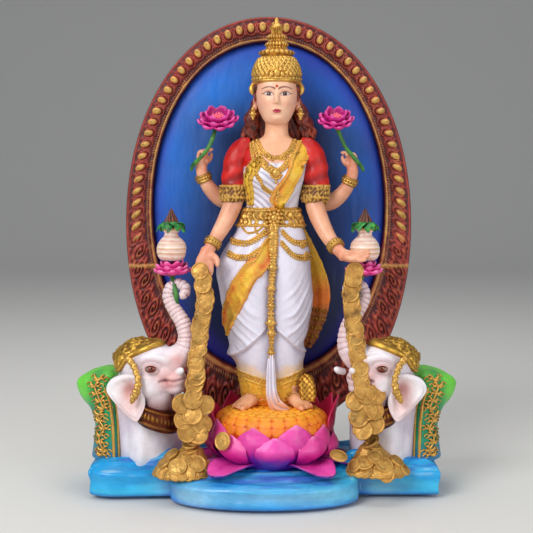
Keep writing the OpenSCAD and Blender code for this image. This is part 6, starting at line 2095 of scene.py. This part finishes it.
def coinMesh(across=6.6, thick=1.0):
    # struck disc: raised rim, a small boss with leaves round it on both faces, worn edge
    a = roundAngles(40)
    radius = across / 2
    spots = np.array([0.02, 0.25, 0.45, 0.62, 0.74, 0.80, 0.86, 0.93, 1.0])
    face = []
    for s in spots:
        rise = 0.30 * bell(s, 0.25, 0.2) + 0.26 * bell(s, 0.9, 0.06) + 0.17 * bell(s, 0.58,
                0.1) * (0.5 + 0.5 * np.cos(8 * a))
        face.append(np.stack([radius * s * np.cos(a), radius * s * np.sin(a),
                              thick / 2 - 0.16 + rise * thick * 0.8 - 0.10 * (s > 0.97)], 1))
    upper = np.array(face)
    lower = upper[::-1] * (1, 1, -1)
    return closedLoft(np.concatenate([upper, lower])[::-1])


struck = coinMesh()


def coinAt(at, lean, spin=0, roll=0, size=1.0):
    v = np.asarray(struck[0]) * (size, size, 1)
    v = turned(v, (0, 0, 1), roll)
    v = turned(v, (1, 0, 0), lean)
    v = turned(v, (0, 0, 1), spin)
    return v + at, struck[1]


def coinTone(p, bright=0.4):
    dull, ochre, gold = colours("#6b4620", "#b5823c", "#dcae5c")
    n = noiseAt(p, 3.0, 17)
    c = mix(ochre, dull, ramp(0.1, 1.1, n))
    return mix(c, gold, unit(bright + 0.35 * noiseAt(p, 2.0, 19)))


def makeStream(side, path, fan):
    p = curvePoints(path, 14)
    gaps = runAlong(p)
    count = int(gaps[-1] / coinage["streamGap"])
    parts = []
    for k in range(count):
        s = gaps[-1] * k / (count - 1)
        at = np.array([np.interp(s, gaps, p[:, j]) for j in range(3)])
        wobble = coinRandom.uniform(-1, 1, 5)
        at += (wobble[0] * 0.55, wobble[1] * 0.35, wobble[2] * 0.4)
        parts.append(coinAt(at, 80 + 6 * wobble[3], 13 * wobble[4], 40 * wobble[0], 0.93 + 0.05 * wobble[2]))
    for k, at in enumerate(fan):
        w = coinRandom.uniform(-1, 1, 3)
        parts.append(coinAt(np.array(at, float), 78 + 10 * w[0], 18 * w[1], 50 * w[2], 1.06))
    back = [[q[0], q[1] + 1.5, q[2], 2.7, 1.2] for q in path]
    foot = np.mean(fan, axis=0)
    back.append([foot[0], foot[1] + 1.8, foot[2], 4.4, 1.3])
    back.append([foot[0], foot[1] + 2.2, min(q[2] for q in fan) - 1, 3.2, 1.0])
    parts.append(closedLoft(limbRings(back, 6, 16)))
    mesh = mergeMeshes(parts)
    mesh = (mesh[0] + (0.12 * noiseAt(mesh[0], 1.6, 40))[:, None], mesh[1])
    name = "coin_stream_" + ("right" if side < 0 else "left")
    makePiece(name + "_cast", mesh, "coinPaint", coinTone(mesh[0], 0.32), [name])


def makeHeap(side):
    # a low pile: two or three coins lying on its front slope, more round the foot, a crumpled stack on top
    name = "coin_heap_" + ("right" if side < 0 else "left")
    lo, hi = cadLow(name), cadHigh(name)
    cx, cy, z0 = (lo[0] + hi[0]) / 2, (lo[1] + hi[1]) / 2 + 0.6, lo[2] - 1.6
    wide, deep, tall = (hi[0] - lo[0]) / 2, (hi[1] - lo[1]) / 2, hi[2] - lo[2]
    lean = -side * 1.6
    mound = levelRings([[cx, cy, z0 - 0.4, wide * 0.90, deep * 0.88],
                        [cx, cy, z0 + tall * 0.12, wide * 0.97, deep * 0.95],
                        [cx + lean * 0.4, cy + 0.4, z0 + tall * 0.34, wide * 0.80, deep * 0.76],
                        [cx + lean, cy + 0.8, z0 + tall * 0.58, wide * 0.56, deep * 0.52],
                        [cx + lean * 1.6, cy + 1.2, z0 + tall * 0.78, wide * 0.34, deep * 0.34],
                        [cx + lean * 1.6, cy + 1.4, z0 + tall * 0.90, wide * 0.14, deep * 0.14]], 8, 90)
    mound = mound + (0.55 * noiseAt(mound, 2.6, 50 + side))[..., None] * (1, 1, 0.4)
    form = closedLoft(mound)
    tree = treeOf(form)
    parts = [form]

    def lay(x, z, size, tip=0.0, lift=0.35, roll=20):  # one coin flat on the slope, seen from the front
        spot, normal = onSurface(tree, [[x, -60, z]], lift, ahead)
        up = normal[0] + (0, 0, tip)
        up /= np.linalg.norm(up)
        first = np.cross((0, 0, 1.0), up)
        first /= np.linalg.norm(first)
        second = np.cross(up, first)
        v = turned(np.asarray(struck[0]) * (size, size, 1.25), (0, 0, 1), roll)
        parts.append((spot[0] + v[:, :1] * first + v[:, 1:2] * second + v[:, 2:] * up, struck[1]))

    for t in np.linspace(-0.88, 0.88, 9):  # ring of coins round the foot
        lay(cx + wide * t, z0 + tall * 0.10, 0.74, 0.9, 0.1, 90 * t)
    for dx, dz, size in ((-0.46 * side, 0.36, 1.02), (0.16 * side, 0.30, 0.98), (0.62 * side, 0.34, 0.82),
                         (-0.80 * side, 0.24, 0.80), (-0.12 * side, 0.52, 0.86), (0.40 * side, 0.56, 0.86)):
        lay(cx + wide * dx, z0 + tall * dz, size, 0.15, 0.45, 80 * dx)
    top = np.array([cx + lean * 1.5, cy - 1.0, z0 + tall * 0.72])
    for k in range(5):
        w = coinRandom.uniform(-1, 1, 4)
        parts.append(coinAt(top + (1.2 * w[0], 0.8 * w[1], 1.1 * k - 1.0), 28 + 16 * w[2], 80 * w[3],
                            40 * w[0], 0.80))
    mesh = mergeMeshes(parts)
    mesh = (mesh[0] + (0.08 * noiseAt(mesh[0], 1.5, 44))[:, None], mesh[1])
    makePiece(name + "_cast", mesh, "coinPaint", coinTone(mesh[0], 0.55), [name])


streams = {
    -1: dict(path=[[-22.4, -13.0, 80], [-21.4, -13.8, 70], [-22.8, -15.4, 58], [-24.0, -17.6, 46],
                   [-24.6, -18.2, 39]],
             fan=[(-28.8, -18.0, 35), (-21.2, -17.8, 34.6), (-25.0, -18.8, 36.8), (-28.4, -17.6, 29.4),
                  (-22.0, -18.4, 28.0), (-25.2, -19.0, 31.4), (-27.2, -18.4, 25.2), (-23.2, -18.8, 24.6)]),
    1: dict(path=[[29.8, -13.0, 80], [29.0, -13.8, 70], [30.2, -15.4, 58], [31.8, -17.6, 46],
                  [33.0, -18.2, 40]],
            fan=[(37.4, -17.8, 38.2), (30.4, -17.8, 36), (34.2, -18.6, 38.4), (36.8, -18.2, 33),
                 (31.4, -18.4, 30.4), (34.4, -18.8, 32.8), (37.0, -18.2, 28.0), (32.8, -18.8, 26.2)]),
}
for side, run in streams.items():
    makeStream(side, run["path"], run["fan"])
    makeHeap(side)
looseCoins = mergeMeshes([coinAt(np.array((-14.9, -21.8, 23.0)), 74, -36, 20, 0.95),
                          coinAt(np.array((24.6, -19.4, 17.4)), 24, 30, 0, 0.95)])
makePiece("loose_coins_cast", looseCoins, "coinPaint", coinTone(looseCoins[0], 0.6), ["loose_coins"])
print("coins ready")
